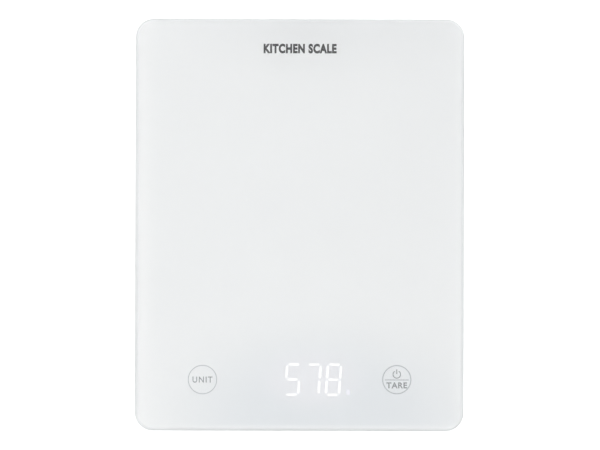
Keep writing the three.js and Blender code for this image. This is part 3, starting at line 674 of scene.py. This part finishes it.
def key_marks():
    """The rings and words printed over the two touch keys."""
    key_ring("unit_key_ring", -KEY_X, MARK_Y, line=0.42)
    unit = text_shape("UNIT", 10.9, 3.3, spacing=1.2, bold=0.008)
    piece("unit_key_word", moved(unit, -KEY_X, MARK_Y), GREY_INK)
    key_ring("tare_key_ring", TARE_X, TARE_Y, line=0.56)
    tare = text_shape("TARE", 11.4, 3.3, spacing=1.12, bold=0.028)
    piece("tare_key_word", moved(tare, TARE_X, TARE_Y - 3.1), GREY_INK)
    piece("tare_key_divider", bar(13.2, 0.52, TARE_X, TARE_Y - 0.15), PALE_INK)
    power = merged(arc_band(1.82, 2.28, *MARK, start=122, stop=418), bar(0.48, 2.6, 0, 1.5))
    piece("tare_key_power_sign", moved(power, TARE_X, TARE_Y + 2.9), GREY_INK)


TITLE_Y = 96.7


def title():
    """A plain descriptive name near the back edge."""
    words = text_shape("KITCHEN SCALE", 40, 5.3, spacing=1.12, bold=0.055)
    piece("title_print", moved(words, 0, TITLE_Y), SLATE_INK)


DIGIT_PITCH = 11.2
DIGIT_WIDTH = 8.4
DIGIT_HEIGHT = 17.8
DIGITS_X = 2.0
UNIT_SIGN = (26.9, -91.7)  # the middle of the small sign beside the digits
SEGMENT_WIDTH = 1.2
SEGMENT_GAP = 0.65
DIGIT_SLANT = 0.077
# Where each segment starts and stops on its digit, by the letter that such segments usually have.
SEGMENTS = {
    "a": ((-1, 1), (1, 1)),
    "b": ((1, 0), (1, 1)),
    "c": ((1, -1), (1, 0)),
    "d": ((-1, -1), (1, -1)),
    "e": ((-1, -1), (-1, 0)),
    "f": ((-1, 0), (-1, 1)),
    "g": ((-1, 0), (1, 0)),
}
NUMERALS = {"5": "afgcd", "7": "abc", "8": "agdfebc"}
READING = " 578"


def segment(letter):
    """The six-cornered outline of one segment, leaning with its digit."""
    half = SEGMENT_WIDTH / 2
    reach = Vector((DIGIT_WIDTH / 2 - half, DIGIT_HEIGHT / 2 - half))
    start, stop = (Vector(end) * reach for end in SEGMENTS[letter])
    along = (stop - start).normalized()
    across = Vector((-along.y, along.x)) * half
    tip, shoulder = along * SEGMENT_GAP, along * (SEGMENT_GAP + half)
    corners = (
        start + tip,
        start + shoulder - across,
        stop - shoulder - across,
        stop - tip,
        stop - shoulder + across,
        start + shoulder + across,
    )
    return [(corner.x + DIGIT_SLANT * corner.y, corner.y) for corner in corners]


def lit_display():
    """The lit segments of the reading, and the unit sign beside it."""
    for place, numeral in enumerate(READING):
        if numeral == " ":
            continue
        x = DIGITS_X + (place - (len(READING) - 1) / 2) * DIGIT_PITCH
        shapes = [extruded(segment(letter), *MARK) for letter in NUMERALS[numeral]]
        piece(f"lit_digit_{place + 1}", moved(merged(*shapes), x, MARK_Y + 0.15), LIT_SEGMENT)
    piece("lit_unit_sign", block(*UNIT_SIGN, 1.5, 2.8, *MARK, 0.7), DIM_SEGMENT)


# ---- Housing ----
EDGE = 0.3  # the small radius along moulded edges
SHELL_SCREWS = [middle(f"shell_screw_{i}").xy for i in range(1, 7)]
BOARD_SCREWS = [middle(f"board_screw_{i}").xy for i in range(1, 5)]
HEAD_ROOM = 3
SCREW_LEDGE = (5.6, 7.2)
HOLDER_EAR = 17  # from a foot's middle to the bosses of its holder's two screws
CELL_POST = 10.5  # from a foot's middle to the posts under its load cell, along each axis
BOSS_TOP = 7.45
COLLAR_TOP = 5.4
CONTACT_TAB_Z = 9


def housing_ring(inset, radius, z):
    return at_height(rectangle(HOUSING_WIDTH - 2 * inset, HOUSING_DEPTH - 2 * inset, radius), z)


def housing_layer(inset, bottom, top):
    return lofted([housing_ring(inset, HOUSING_RADIUS - inset, z) for z in (bottom, top)])


def belly(wall, top):
    """Rings of the shell's curved side from floor to top, wall millimetres in from the outside."""
    steps = 22
    run = BELLY_RUN - wall
    drop = PARTING - SHELL_BOTTOM - wall
    rings = []
    for step in range(steps):
        angle = pi / 2 * (1 - step / steps)
        fall_in = 1 - cos(angle)
        radius = HOUSING_RADIUS - wall + BELLY_RADIUS_GAIN * fall_in
        rings.append(housing_ring(wall + run * fall_in, radius, PARTING - drop * sin(angle)))
    return [*rings, housing_ring(wall, HOUSING_RADIUS - wall, top)]


def rim(z, direction, radius):
    """Rings round a rounded edge that turns in towards z from below (1) or from above (-1)."""
    rings = []
    for r, height in fillet(-radius, 0, radius, 0, 90):
        rings.append(housing_ring(-r, HOUSING_RADIUS + r, z + direction * (height - radius)))
    return rings if direction > 0 else rings[::-1]


def mouth(x, y, radius, top, sides):
    """Cuts a round hole up from the underside, with a small rounded lip."""
    flare = fillet(radius + EDGE, SHELL_BOTTOM + EDGE, EDGE, 270, 180)
    return moved(turned([(radius + EDGE, BELOW), *flare, (radius, top)], sides), x, y)


def foot_pocket(corner):
    """Collar, cell posts and screw bosses of one corner, and the holes that follow them."""
    side_x, side_y = CORNERS[corner]
    x, y = side_x * FOOT_X, side_y * FOOT_Y
    ears = [(side_x * (FOOT_X - HOLDER_EAR), y), (x, side_y * (FOOT_Y - HOLDER_EAR))]
    under_cell = [(x + CELL_POST * i, y + CELL_POST * j) for i in SIDES for j in SIDES]
    added = [post(x, y, FLANGE_RADIUS + 1.5, ROOT, COLLAR_TOP, 64)]
    added += posts(under_cell, 1.6, SHELL_BOTTOM + 0.9, CELL_BOTTOM - 0.05, 24)
    added += posts(ears, 2.6, ROOT, BOSS_TOP, 32)
    holes = [mouth(x, y, FOOT_RADIUS + FIT_GAP, SHELL_FLOOR + THROUGH, 72)]
    holes.append(post(x, y, FLANGE_RADIUS + FIT_GAP, SHELL_FLOOR, COLLAR_TOP + THROUGH, 72))
    holes += posts(ears, 0.95, SHELL_FLOOR + 0.6, BOSS_TOP + 0.55, 20)
    return added, holes


def battery_bay():
    """Walls, roof and ledge of the battery bay, and what is cut from them."""
    wall_length, wall_width = BAY_LENGTH + 2 * BAY_WALL, BAY_WIDTH + 2 * BAY_WALL
    recess = (DOOR_LENGTH + 2 * FIT_GAP, DOOR_WIDTH + 2 * FIT_GAP)
    added = [
        block(0, BAY_Y, wall_length, wall_width, ROOT, FRAME_TOP, 0.6),
        block(0, BAY_Y, recess[0] + 3.4, recess[1] + 3.4, ROOT, LEDGE + LEDGE_THICKNESS, 2),
    ]
    notch_front = BAY_Y + BAY_WIDTH / 2 + BAY_WALL + 0.2
    notch_back = DOOR_BACK + 3.4
    notch_y, notch_depth = (notch_front + notch_back) / 2, notch_back - notch_front
    lip = 0.25
    flared = []
    for grow, z in ((lip, BELOW), (lip, SHELL_BOTTOM), (0, SHELL_BOTTOM + lip), (0, LEDGE)):
        outline = rectangle(recess[0] + 2 * grow, recess[1] + 2 * grow, 1.6 + grow, 8)
        flared.append(at_height(outline, z))
    removed = [
        block(0, BAY_Y, BAY_LENGTH, BAY_WIDTH, BELOW, FRAME_TOP - BAY_ROOF, 0.5),
        moved(lofted(flared), y=BAY_Y),
        block(0, LATCH_Y, LATCH_WIDTH + 1, 2.8, LEDGE - 0.05, LEDGE + 4, 0.3),
    ]
    removed += [
        block(side * TAB_X, notch_y, TAB_WIDTH + 1.2, notch_depth, LEDGE - 0.05, 6.8, 0.3) for side in SIDES
    ]
    removed += [
        block(end * BAY_LENGTH / 2, BAY_Y + end * BATTERY_PITCH, 4, 3.6, CONTACT_TAB_Z - 1, CONTACT_TAB_Z + 1)
        for end in SIDES
    ]
    return added, removed


def cell_rests():
    """Low ribs on the bay's roof, between the cells."""
    roof = FRAME_TOP - BAY_ROOF
    rows = [BAY_Y + row * BATTERY_PITCH for row in (-0.5, 0.5)]
    return [block(x, y, 1.2, 1.4, roof - 1.6, roof + 0.2, 0.4) for x in (-14, 14) for y in rows]


def finger_scoop():
    """The shallow ellipsoid hollow that lets a fingertip reach the door's latch."""
    depth = 1
    bm = bmesh.new()
    bmesh.ops.create_uvsphere(bm, u_segments=48, v_segments=32, radius=1)
    bmesh.ops.scale(bm, verts=bm.verts, vec=(9, 5, 2 * depth))
    return moved(bm, 0, DOOR_FRONT - 0.4, SHELL_BOTTOM - depth)


def floor_ribs():
    top = SHELL_FLOOR + 2.6
    along = [block(x, 12, 1.2, 118, ROOT, top) for x in (-37, 37)]
    across = [block(0, y, 75, 1.2, ROOT, top) for y in (-48, 70)]
    return along + across


def bottom_shell():
    outside = lofted([*belly(0, PARTING - EDGE), *rim(PARTING, 1, EDGE)[1:]])
    lip_top = PARTING + LIP_HEIGHT
    lip = housing_layer(LIP_INSET, PARTING - THROUGH, lip_top)
    inside = lofted([*belly(WALL, PARTING), housing_ring(WALL, HOUSING_RADIUS - WALL, lip_top + THROUGH)])
    tray = carved(outside, joined=[lip], removed=[inside])
    added = posts(SHELL_SCREWS, HEAD_ROOM + 1.4, ROOT, SCREW_LEDGE[1], 40)
    removed = []
    for x, y in SHELL_SCREWS:
        removed.append(mouth(x, y, HEAD_ROOM, SCREW_LEDGE[0], 40))
        removed.append(post(x, y, 1.6, SHELL_BOTTOM, SCREW_LEDGE[1] + THROUGH, 32))
    for corner in CORNERS:
        pocket, holes = foot_pocket(corner)
        added += pocket
        removed += holes
    bay, bay_holes = battery_bay()
    return carved(
        carved(tray, joined=added + bay + floor_ribs(), removed=removed + bay_holes),
        joined=cell_rests(),
        removed=[finger_scoop()],
    )


def upper_frame():
    """The plate under the glass, with its skirt, screw bosses and windows."""
    bottom = PARTING + SEAM
    plate_bottom = FRAME_TOP - FRAME_PLATE
    body = lofted([*rim(bottom, -1, EDGE), *rim(FRAME_TOP, 1, 0.5)])
    lip_room = LIP_INSET - 0.15
    hollow = housing_layer(WALL, bottom - THROUGH, plate_bottom)
    groove = housing_layer(lip_room, bottom - THROUGH, PARTING + LIP_HEIGHT + 0.2)
    skirt = carved(body, removed=[hollow, groove])
    through = (plate_bottom - THROUGH, FRAME_TOP + THROUGH)
    display_low, display_high = box("display_module")
    display = (display_low + display_high) / 2
    window = display_high - display_low + Vector((2 * FIT_GAP, 2 * FIT_GAP, 0))
    bay_room = 2 * (BAY_WALL + FIT_GAP)
    boss_top = plate_bottom + 0.2
    joined = posts(SHELL_SCREWS, 3.2, SCREW_LEDGE[1] + 0.15, boss_top, 36)
    joined += posts(BOARD_SCREWS, 2.6, BOARD_HIGH.z + 0.05, boss_top, 32)
    removed = posts(SHELL_SCREWS, 1.35, SCREW_LEDGE[1] - THROUGH, plate_bottom - 1, 24)
    removed += posts(BOARD_SCREWS, 0.95, BOARD_HIGH.z - THROUGH, boss_top, 20)
    removed += posts([(side * KEY_X, KEY_Y) for side in SIDES], 5, *through, 48)
    removed.append(block(display.x, display.y, window.x, window.y, *through, 0.8))
    removed.append(block(0, BAY_Y, BAY_LENGTH + bay_room, BAY_WIDTH + bay_room, *through, 0.8))
    return carved(skirt, joined=joined, removed=removed)


def battery_door():
    """A flat door with two hooks, a sprung latch between two slits, grips and a small arrow."""
    top = SHELL_BOTTOM + DOOR_THICKNESS
    edge = 0.25
    rings = []
    for inset, z in [*fillet(edge, SHELL_BOTTOM + edge, edge, 270, 180), (0, top)]:
        rings.append(at_height(rectangle(DOOR_LENGTH - 2 * inset, DOOR_WIDTH - 2 * inset, 1.3 - inset, 8), z))
    plate = moved(lofted(rings), y=BAY_Y)
    joined = []
    for side in SIDES:
        joined.append(block(side * TAB_X, DOOR_BACK - 1, TAB_WIDTH, 1.4, top - 0.2, 4.8, 0.2))
        joined.append(block(side * TAB_X, DOOR_BACK + 0.2, TAB_WIDTH, 3.6, 3.8, 4.8, 0.2))
    joined.append(block(0, LATCH_Y, LATCH_WIDTH, 1.2, top - 0.2, DOOR_HIGH.z, 0.3))
    arrow = [(-2.6, DOOR_FRONT + 9.2), (2.6, DOOR_FRONT + 9.2), (0, DOOR_FRONT + 13)]
    joined.append(extruded(arrow, SHELL_BOTTOM - 0.15, SHELL_BOTTOM + 0.3))
    slit_x = LATCH_WIDTH / 2 + 1.2
    through = (BELOW, top + THROUGH)
    removed = [block(side * slit_x, DOOR_FRONT + 4, 0.8, 9, *through, 0.3) for side in SIDES]
    for i in range(3):
        groove = rotated(turned([(0.4, -4.5), (0.4, 4.5)], 24), "Y", 90)
        removed.append(moved(groove, 0, DOOR_FRONT + 2.2 + 1.5 * i, SHELL_BOTTOM))
    return carved(plate, joined=joined, removed=removed)


# ---- Feet ----
PAD_PROUD = 0.7
PAD_RADIUS = 7.5


def foot():
    """The hard foot: a pocket for its pad below, and a button that presses on the load cell."""
    pocket = PAD_RADIUS + 0.2
    flange = SHELL_FLOOR + 0.1
    button_top = CELL_BOTTOM - 0.05
    profile = [
        (pocket, PAD_PROUD + 1),
        (pocket, PAD_PROUD + 0.15),
        (pocket + 0.15, PAD_PROUD),
        *fillet(FOOT_RADIUS - 0.5, PAD_PROUD + 0.5, 0.5, 270, 360, 6),
        (FOOT_RADIUS, flange),
        (FLANGE_RADIUS - 0.15, flange),
        (FLANGE_RADIUS, flange + 0.15),
        *fillet(FLANGE_RADIUS - 0.3, flange + 0.7, 0.3, 0, 90),
        (3.6, flange + 1),
        *fillet(2.2, button_top - 0.4, 0.4, 0, 90),
    ]
    return turned(profile, 96)


def foot_pad():
    """A rubber disc with a round edge and two grip rings moulded in its underside."""
    profile = [(1.8, 0.0)]
    for groove in (2.4, 4.8):
        profile += [(groove, 0.0), (groove + 0.2, 0.3), (groove + 0.7, 0.3), (groove + 0.9, 0.0)]
    profile += [*fillet(PAD_RADIUS - 0.4, 0.4, 0.4, 270, 360, 6), (PAD_RADIUS, PAD_PROUD + 0.95)]
    return turned(profile, 96)


# ---- Screws ----
# Head height and shank radius of each kind of screw, and which way its head faces.
SCREWS = {
    "shell_screw": (1.8, 1.25, -1),
    "board_screw": (1.2, 0.8, -1),
    "holder_screw": (1.2, 0.8, 1),
}


def cross_screw(head_radius, head_height, shank_radius, length):
    """A cross-head screw with its head's face at z 0 and its thread pointing up."""
    pitch = 0.9 * shank_radius
    ridges = int((length - head_height - shank_radius) / pitch)
    root = 0.8 * shank_radius
    profile = [
        (head_radius * 0.55, 0.0),
        *fillet(head_radius - 0.55 * head_height, 0.55 * head_height, 0.55 * head_height, 285, 360, 6),
        (head_radius, head_height - 0.1),
        (head_radius - 0.1, head_height),
        (root, head_height),
    ]
    for ridge in range(ridges):
        start = head_height + (ridge + 0.25) * pitch
        profile += [(root, start), (shank_radius, start + 0.3 * pitch), (root, start + 0.6 * pitch)]
    profile += [(root, length - shank_radius), (0.12, length)]
    recess = []
    for turn in (0, 90):
        levels = ((1.15, -THROUGH), (1.15, 0), (0.63, 0.6 * head_height))
        arm = [at_height(rectangle(head_radius * share, head_radius * 0.24), z) for share, z in levels]
        recess.append(rotated(lofted(arm), "Z", turn))
    return carved(turned(profile, 36), removed=recess)


def screws():
    for kind, (head_height, shank_radius, facing) in SCREWS.items():
        for node in sorted(name for name in frame["nodes"] if name.startswith(kind)):
            low, high = box(node)
            x, y, _ = (low + high) / 2
            made = cross_screw((high.x - low.x) / 2, head_height, shank_radius, high.z - low.z)
            if facing > 0:
                rotated(made, "X", 180)
            replacement(node, moved(made, x, y, high.z if facing > 0 else low.z))


# ---- Batteries and contacts ----
BATTERY_RADIUS = 5.2
BATTERY_SKIN = BATTERY_RADIUS - 0.08  # the can's radius, under the jacket
CONTACT_THICKNESS = 0.4
CONTACT_HEIGHT = 8
CONTACT_WIDTH = 9
BATTERY_Z = middle("battery_1").z


def laid_along_x(bm, direction=1):
    """Turns a body that stands along Z so that its top points to +X or -X."""
    return rotated(bm, "Y", 90 * direction)


def wrapped(bm, radius):
    """Bends flat shapes in the XY plane round the underside of a cylinder along X."""
    for vertex in bm.verts:
        angle = vertex.co.y / radius
        reach = radius + vertex.co.z
        vertex.co.y = reach * sin(angle)
        vertex.co.z = -reach * cos(angle)
    bmesh.ops.recalc_face_normals(bm, faces=bm.faces)
    return bm


def strip(width, depth, thickness=0.05, steps=6):
    """A flat bar with cuts across it, so that it can be wrapped."""
    rows = [depth * (i / steps - 0.5) for i in range(steps + 1)]
    corners = ((-width / 2, 0), (width / 2, 0), (width / 2, thickness), (-width / 2, thickness))
    return lofted([[(x, y, z) for x, z in corners] for y in rows])


def battery_can(half, shoulder):
    """A bare metal can that reaches from -half to half, with its nub above the shoulder."""
    profile = [
        (3.9, -half),
        (4.1, -half + 0.12),
        *fillet(BATTERY_SKIN - 0.6, -half + 0.7, 0.6, 270, 360),
        *fillet(BATTERY_SKIN - 0.7, shoulder - 0.7, 0.7, 0, 90),
        (3.4, shoulder),
        (3.2, shoulder - 0.25),
        (2.2, shoulder - 0.25),
        (1.9, shoulder + 0.05),
        *fillet(1.5, half - 0.35, 0.35, 0, 90),
    ]
    return turned(profile, 72)


def batteries():
    """Three cells laid in turn: a bare metal can, its foil jacket and band, and the signs on them."""
    jacket = MATERIALS["battery_jacket"]
    for row in (1, 2, 3):
        node = f"battery_{row}"
        direction = -1 if row == 2 else 1
        low, high = box(node)
        centre = (low + high) / 2
        half = (high.x - low.x) / 2
        shoulder = half - 1
        band = shoulder - 11
        can = moved(laid_along_x(battery_can(half, shoulder), direction), *centre)
        replaced = replacement(node, can, name=f"{node}_can")
        replaced.data.materials[0] = MATERIALS["nickel"]
        sleeves = (("jacket", -half + 0.9, band - 0.02, jacket), ("band", band, shoulder - 0.8, BATTERY_BAND))
        for part, bottom, top, material in sleeves:
            sleeve = laid_along_x(washer(BATTERY_SKIN + 0.01, BATTERY_RADIUS, bottom, top, 72), direction)
            piece(f"{node}_{part}", moved(sleeve, *centre), material)
        plus = moved(merged(strip(3, 0.7), strip(0.7, 3)), direction * (shoulder - 4.5))
        minus = moved(strip(3, 0.7), -direction * (half - 4.5))
        for part, sign, material in (("plus", plus, MATERIALS["black_plastic"]), ("minus", minus, SIGN_INK)):
            piece(f"{node}_{part}", moved(wrapped(sign, BATTERY_RADIUS + 0.005), *centre), material)


CONTACT_X = BAY_LENGTH / 2 - CONTACT_THICKNESS / 2 - 0.1
NUB_X = CONTACT_X - CONTACT_THICKNESS / 2 - 0.1
BATTERY_LENGTH = box("battery_1")[1].x - box("battery_1")[0].x
SPRING_LENGTH = 2 * NUB_X - BATTERY_LENGTH - 0.1


def in_row(bm, x, row):
    """Puts a body in the battery bay, in line with a row of it and at the cells' height."""
    return moved(bm, x, BAY_Y + row * BATTERY_PITCH, BATTERY_Z)


def contact_plate(end, rows):
    """A sprung-steel plate in the bay's end wall, from the first to the last of its rows."""
    span = (len(rows) - 1) * BATTERY_PITCH + CONTACT_WIDTH
    flat = extruded(rectangle(CONTACT_HEIGHT, span, 1.1, 8), -CONTACT_THICKNESS / 2, CONTACT_THICKNESS / 2)
    return in_row(rotated(flat, "Y", 90), end * CONTACT_X, (rows[0] + rows[-1]) / 2)


def contact_spring(end, row):
    wire = 0.32
    spring = coil(3.4, 1.9, CONTACT_THICKNESS / 2 + 0.1, SPRING_LENGTH - wire, 3, wire)
    return in_row(laid_along_x(spring, -end), end * CONTACT_X, row)


def contact_dimple(end, row):
    """The raised button that meets a cell's nub."""
    button = turned([(2.4, 0.0), (2.2, 0.05), (1.6, 0.085)], 40)
    return in_row(laid_along_x(button, -end), end * (CONTACT_X - CONTACT_THICKNESS / 2), row)


def contact_tab(end, row):
    """The solder tab that reaches out through the bay's wall."""
    outer = BAY_LENGTH / 2 + BAY_WALL + 2
    x, y = end * (CONTACT_X + outer) / 2, BAY_Y + row * BATTERY_PITCH
    low, high = CONTACT_TAB_Z - CONTACT_THICKNESS / 2, CONTACT_TAB_Z + CONTACT_THICKNESS / 2
    return block(x, y, outer - CONTACT_X, 3, low, high, 0.4)


def contacts():
    """Two outer contacts with solder tabs, and two links that join neighbouring cells."""
    pieces = {
        "negative": (contact_plate(-1, (-1,)), contact_spring(-1, -1), contact_tab(-1, -1)),
        "positive": (contact_plate(1, (1,)), contact_dimple(1, 1), contact_tab(1, 1)),
        "link_right": (contact_plate(1, (-1, 0)), contact_spring(1, 0), contact_dimple(1, -1)),
        "link_left": (contact_plate(-1, (0, 1)), contact_spring(-1, 1), contact_dimple(-1, 0)),
    }
    for name, shapes in pieces.items():
        replacement(f"battery_contact_{name}", merged(*shapes))


def touch_springs():
    """Soft coils that press a foil disc up towards the glass under each touch key."""
    wire = 0.3
    bottom, top = BOARD_HIGH.z + 0.1, GLASS_BOTTOM - 0.1
    for side, name in ((-1, "unit"), (1, "tare")):
        spring = coil(2.6, 3.5, bottom + wire, top - wire, 3.5, wire)
        foil = turned([(3.8, top - 0.25), (3.9, top - 0.2), (3.9, top - 0.05), (3.8, top)], 48)
        base = washer(2.2, 3, bottom, bottom + 0.3, 40)
        replacement(f"touch_spring_{name}", moved(merged(spring, foil, base), side * KEY_X, KEY_Y))


# ---- Load cells ----
CELL_OPENING = 8.8  # half of the opening in a cell's plate
TONGUE_WIDTH = 8
TONGUE_SLOT = 1.4
FILM = 0.08
GAUGE = (4.4, 3.4)
GAUGE_Y = 5.6


def cell_plate(size, bottom, top):
    """The fixed part of a cell: a square steel plate with a bay for its tongue, and two windows."""
    through = (bottom - THROUGH, top + THROUGH)
    bay = block(0, 0, TONGUE_WIDTH + 2 * TONGUE_SLOT, 2 * CELL_OPENING, *through, 0.5)
    window_x, length = CELL_OPENING - 1, 2 * CELL_OPENING - 5
    windows = [block(side * window_x, 2.5, 2, length, *through, 0.5) for side in SIDES]
    return carved(block(0, 0, size, size, bottom, top, 2, 8), removed=[bay, *windows])


def cell_tongue(bottom, top):
    """The part that bends: a strip from the back of the bay, a little narrower past the button."""
    length = 2 * CELL_OPENING - TONGUE_SLOT
    tip_radius = 1.5
    steps = 36
    sections = []
    for step in range(steps + 1):
        along = length * step / steps
        half = TONGUE_WIDTH / 2 - 0.6 * min(1, max(0, along - 11))
        from_tip = max(0, tip_radius - (length - along))
        half -= tip_radius - sqrt(tip_radius**2 - from_tip**2) if from_tip < tip_radius else tip_radius
        y = CELL_OPENING - along
        sections.append([(-half, y, bottom), (half, y, bottom), (half, y, top), (-half, y, top)])
    return lofted(sections)


def load_cells():
    """Plates that stay put, and tongues and strain gauges made on no body; on the real scale these bend up
    with the foot below.
    """
    for corner, (side_x, side_y) in CORNERS.items():
        node = f"load_cell_{corner}"
        low, high = box(node)
        x, y, _ = (low + high) / 2
        turn = 0 if side_y > 0 else 180

        def placed(bm):
            return moved(rotated(bm, "Z", turn), x, y)

        replacement(node, placed(cell_plate(high.x - low.x, low.z, high.z)))
        gauge = moved(strip(*GAUGE, FILM, 12), 0, GAUGE_Y, high.z)
        bending = (("tongue", cell_tongue(low.z, high.z), MATERIALS["steel"]), ("gauge", gauge, GAUGE_FILM))
        for part, shape, material in bending:
            made = piece(f"{node}_{part}", placed(shape), material, body=None)
            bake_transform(made)
        tab = block(x - side_x * 5.6, y - side_y * 5, 3.4, 3.8, high.z, high.z + FILM, 0.5)
        piece(f"{node}_lead_tab", tab, GAUGE_FILM)


RESISTOR_X = 43.5
RESISTOR_PITCH = 2.6
# Place and width of the solder on the right half of the board.
SOLDER_JOINTS = ((31, -73, 4.4), (24.5, -70, 4.4), (14, -68, 2))


def board_resistors():
    """A row of small resistors on each side of the display."""
    bottom = BOARD_HIGH.z + 0.02
    bodies, ends = [], []
    for side in SIDES:
        for row in (-2, -1, 0, 1, 2):
            x, y = side * RESISTOR_X, middle("main_board").y + RESISTOR_PITCH * row
            bodies.append(block(x, y, 1.1, 0.8, bottom, bottom + 0.42, 0.05, 2))
            ends += [block(x + 0.75 * end, y, 0.4, 0.84, bottom, bottom + 0.45, 0.08, 2) for end in SIDES]
    piece("board_resistors", merged(*bodies), MATERIALS["black_plastic"])
    piece("board_resistor_ends", merged(*ends), SOLDER)


def board_solder():
    """The solder under the board that holds the leads."""
    low, high = BOARD_LOW.z - 0.5, BOARD_LOW.z - 0.02
    places = [(side * x, y, width) for side in SIDES for x, y, width in SOLDER_JOINTS]
    joints = [block(x, y, width, 2, low, high, 0.9) for x, y, width in places]
    piece("board_solder", merged(*joints), SOLDER)


# ---- Assembly ----
plate = replacement("glass_platform", glass_plate(), name="glass_plate")
plate.data.materials.append(ground_glass())
for face in plate.data.polygons:
    face.material_index = 0 if abs(face.normal.z) > 0.999 else 1
piece("back_print", back_print(), white_print_and_painted_light())
key_marks()
title()
lit_display()
replacement("bottom_shell", bottom_shell())
replacement("upper_frame", upper_frame())
replacement("battery_door", battery_door(), body="battery_door")
for corner, (side_x, side_y) in CORNERS.items():
    for node, shape in ((f"foot_{corner}", foot()), (f"foot_pad_{corner}", foot_pad())):
        replacement(node, moved(shape, side_x * FOOT_X, side_y * FOOT_Y), body=f"foot_{corner}")
screws()
batteries()
contacts()
touch_springs()
load_cells()
board_resistors()
board_solder()


def finish_node(node, slot):
    """Gives a CAD node that stays its own material and softly rounded edges."""
    node.data.materials.clear()
    node.data.materials.append(MATERIALS[slot])
    weld = node.modifiers.new("weld", "WELD")
    weld.merge_threshold = 0.002 * MM
    if "lead" not in node.name:
        edge = node.modifiers.new("edge", "BEVEL")
        edge.width = 0.1 * MM
        edge.segments = 2
        edge.limit_method = "ANGLE"
        edge.angle_limit = radians(40)
    smooth(node, 45)


for name, node in frame["nodes"].items():
    if not node.hide_render:
        finish_node(node, SLOT_OF[name])


# ---- Stage ----
FLOOR_REACH = 3  # metres to each side
FLOOR_FADE = 1500  # the floor fades into the tent round this radius


def studio_floor():
    paint = Paint("floor", base_color=grey(0.93), emission_color=grey(1.0), emission_strength=0.16)
    paint.roughness(paint.noise(400), 0.86, 0.92)
    paint.set("Alpha", paint.zone((0, 0), (FLOOR_FADE, FLOOR_FADE), 0.7))
    bm = bmesh.new()
    bmesh.ops.create_grid(bm, x_segments=1, y_segments=1, size=FLOOR_REACH)
    made = linked("floor", to_mesh(bm, "floor"))
    made.data.materials.append(paint.material)


LIGHT_SIZE = 0.7
LIGHT_POWER = 1.55
LIGHT_PLACE = (-0.7, -0.15, 0.5)


def side_light():
    """A soft square light on the left that faces the middle and isn't reflected."""
    lamp = linked("side_light", bpy.data.lights.new("side_light", "AREA"))
    lamp.data.size = LIGHT_SIZE
    lamp.data.energy = LIGHT_POWER
    lamp.location = LIGHT_PLACE
    lamp.rotation_euler = (-lamp.location).to_track_quat("-Z", "Y").to_euler()
    lamp.visible_glossy = False


HORIZON_LEVEL = 0.42
ZENITH_LEVEL = 1.155
# Broad soft panels: the way to the middle of each, its inner and outer radius in degrees, and its level.
PANELS = (
    ((0.50, 0.65, 0.42), 12, 95, 0.35),
    ((0.45, 0.60, 0.62), 10, 40, 0.7),
    ((-0.62, 0.50, 0.50), 4, 30, 0.15),
    ((-0.14, -0.17, 0.97), 8, 26, 0.5),
)


def studio_sky():
    """A white tent: brightest overhead, dimmer towards the horizon, with soft panels in it."""
    world = bpy.data.worlds.new("studio")
    sky = Nodes(world)
    way = sky.node("TexCoord").outputs["Generated"]
    height = sky.node("SeparateXYZ", {"Vector": way}).outputs["Z"]
    level = sky.between(height, HORIZON_LEVEL, ZENITH_LEVEL, 0, 0.85, "SMOOTHSTEP")
    for centre, inner, outer, strength in PANELS:
        facing = sky.vector("DOT_PRODUCT", way, Vector(centre).normalized(), "Value")
        start, stop = cos(radians(outer)), cos(radians(inner))
        level = sky.math("ADD", level, sky.between(facing, 0.0, strength, start, stop, "SMOOTHSTEP"))
    background = sky.tree.nodes["Background"].inputs
    sky.feed(background["Color"], (1, 1, 1))
    sky.feed(background["Strength"], level)
    bpy.context.scene.world = world


LENS = 100
SENSOR = 36
VIEW_WIDTH = 0.32798  # how much of the platform's plane the picture spans
VIEW_ROLL = radians(0.17)
VIEW_X = 0.0002


def camera():
    made = linked("camera", bpy.data.cameras.new("camera"))
    made.data.lens = LENS
    made.data.sensor_width = SENSOR
    made.location = (VIEW_X, 0, TOP * MM + VIEW_WIDTH * LENS / SENSOR)
    made.rotation_euler = (0, 0, VIEW_ROLL)
    bpy.context.scene.camera = made


studio_floor()
studio_sky()
side_light()
camera()
bpy.context.scene.view_settings.view_transform = "Standard"
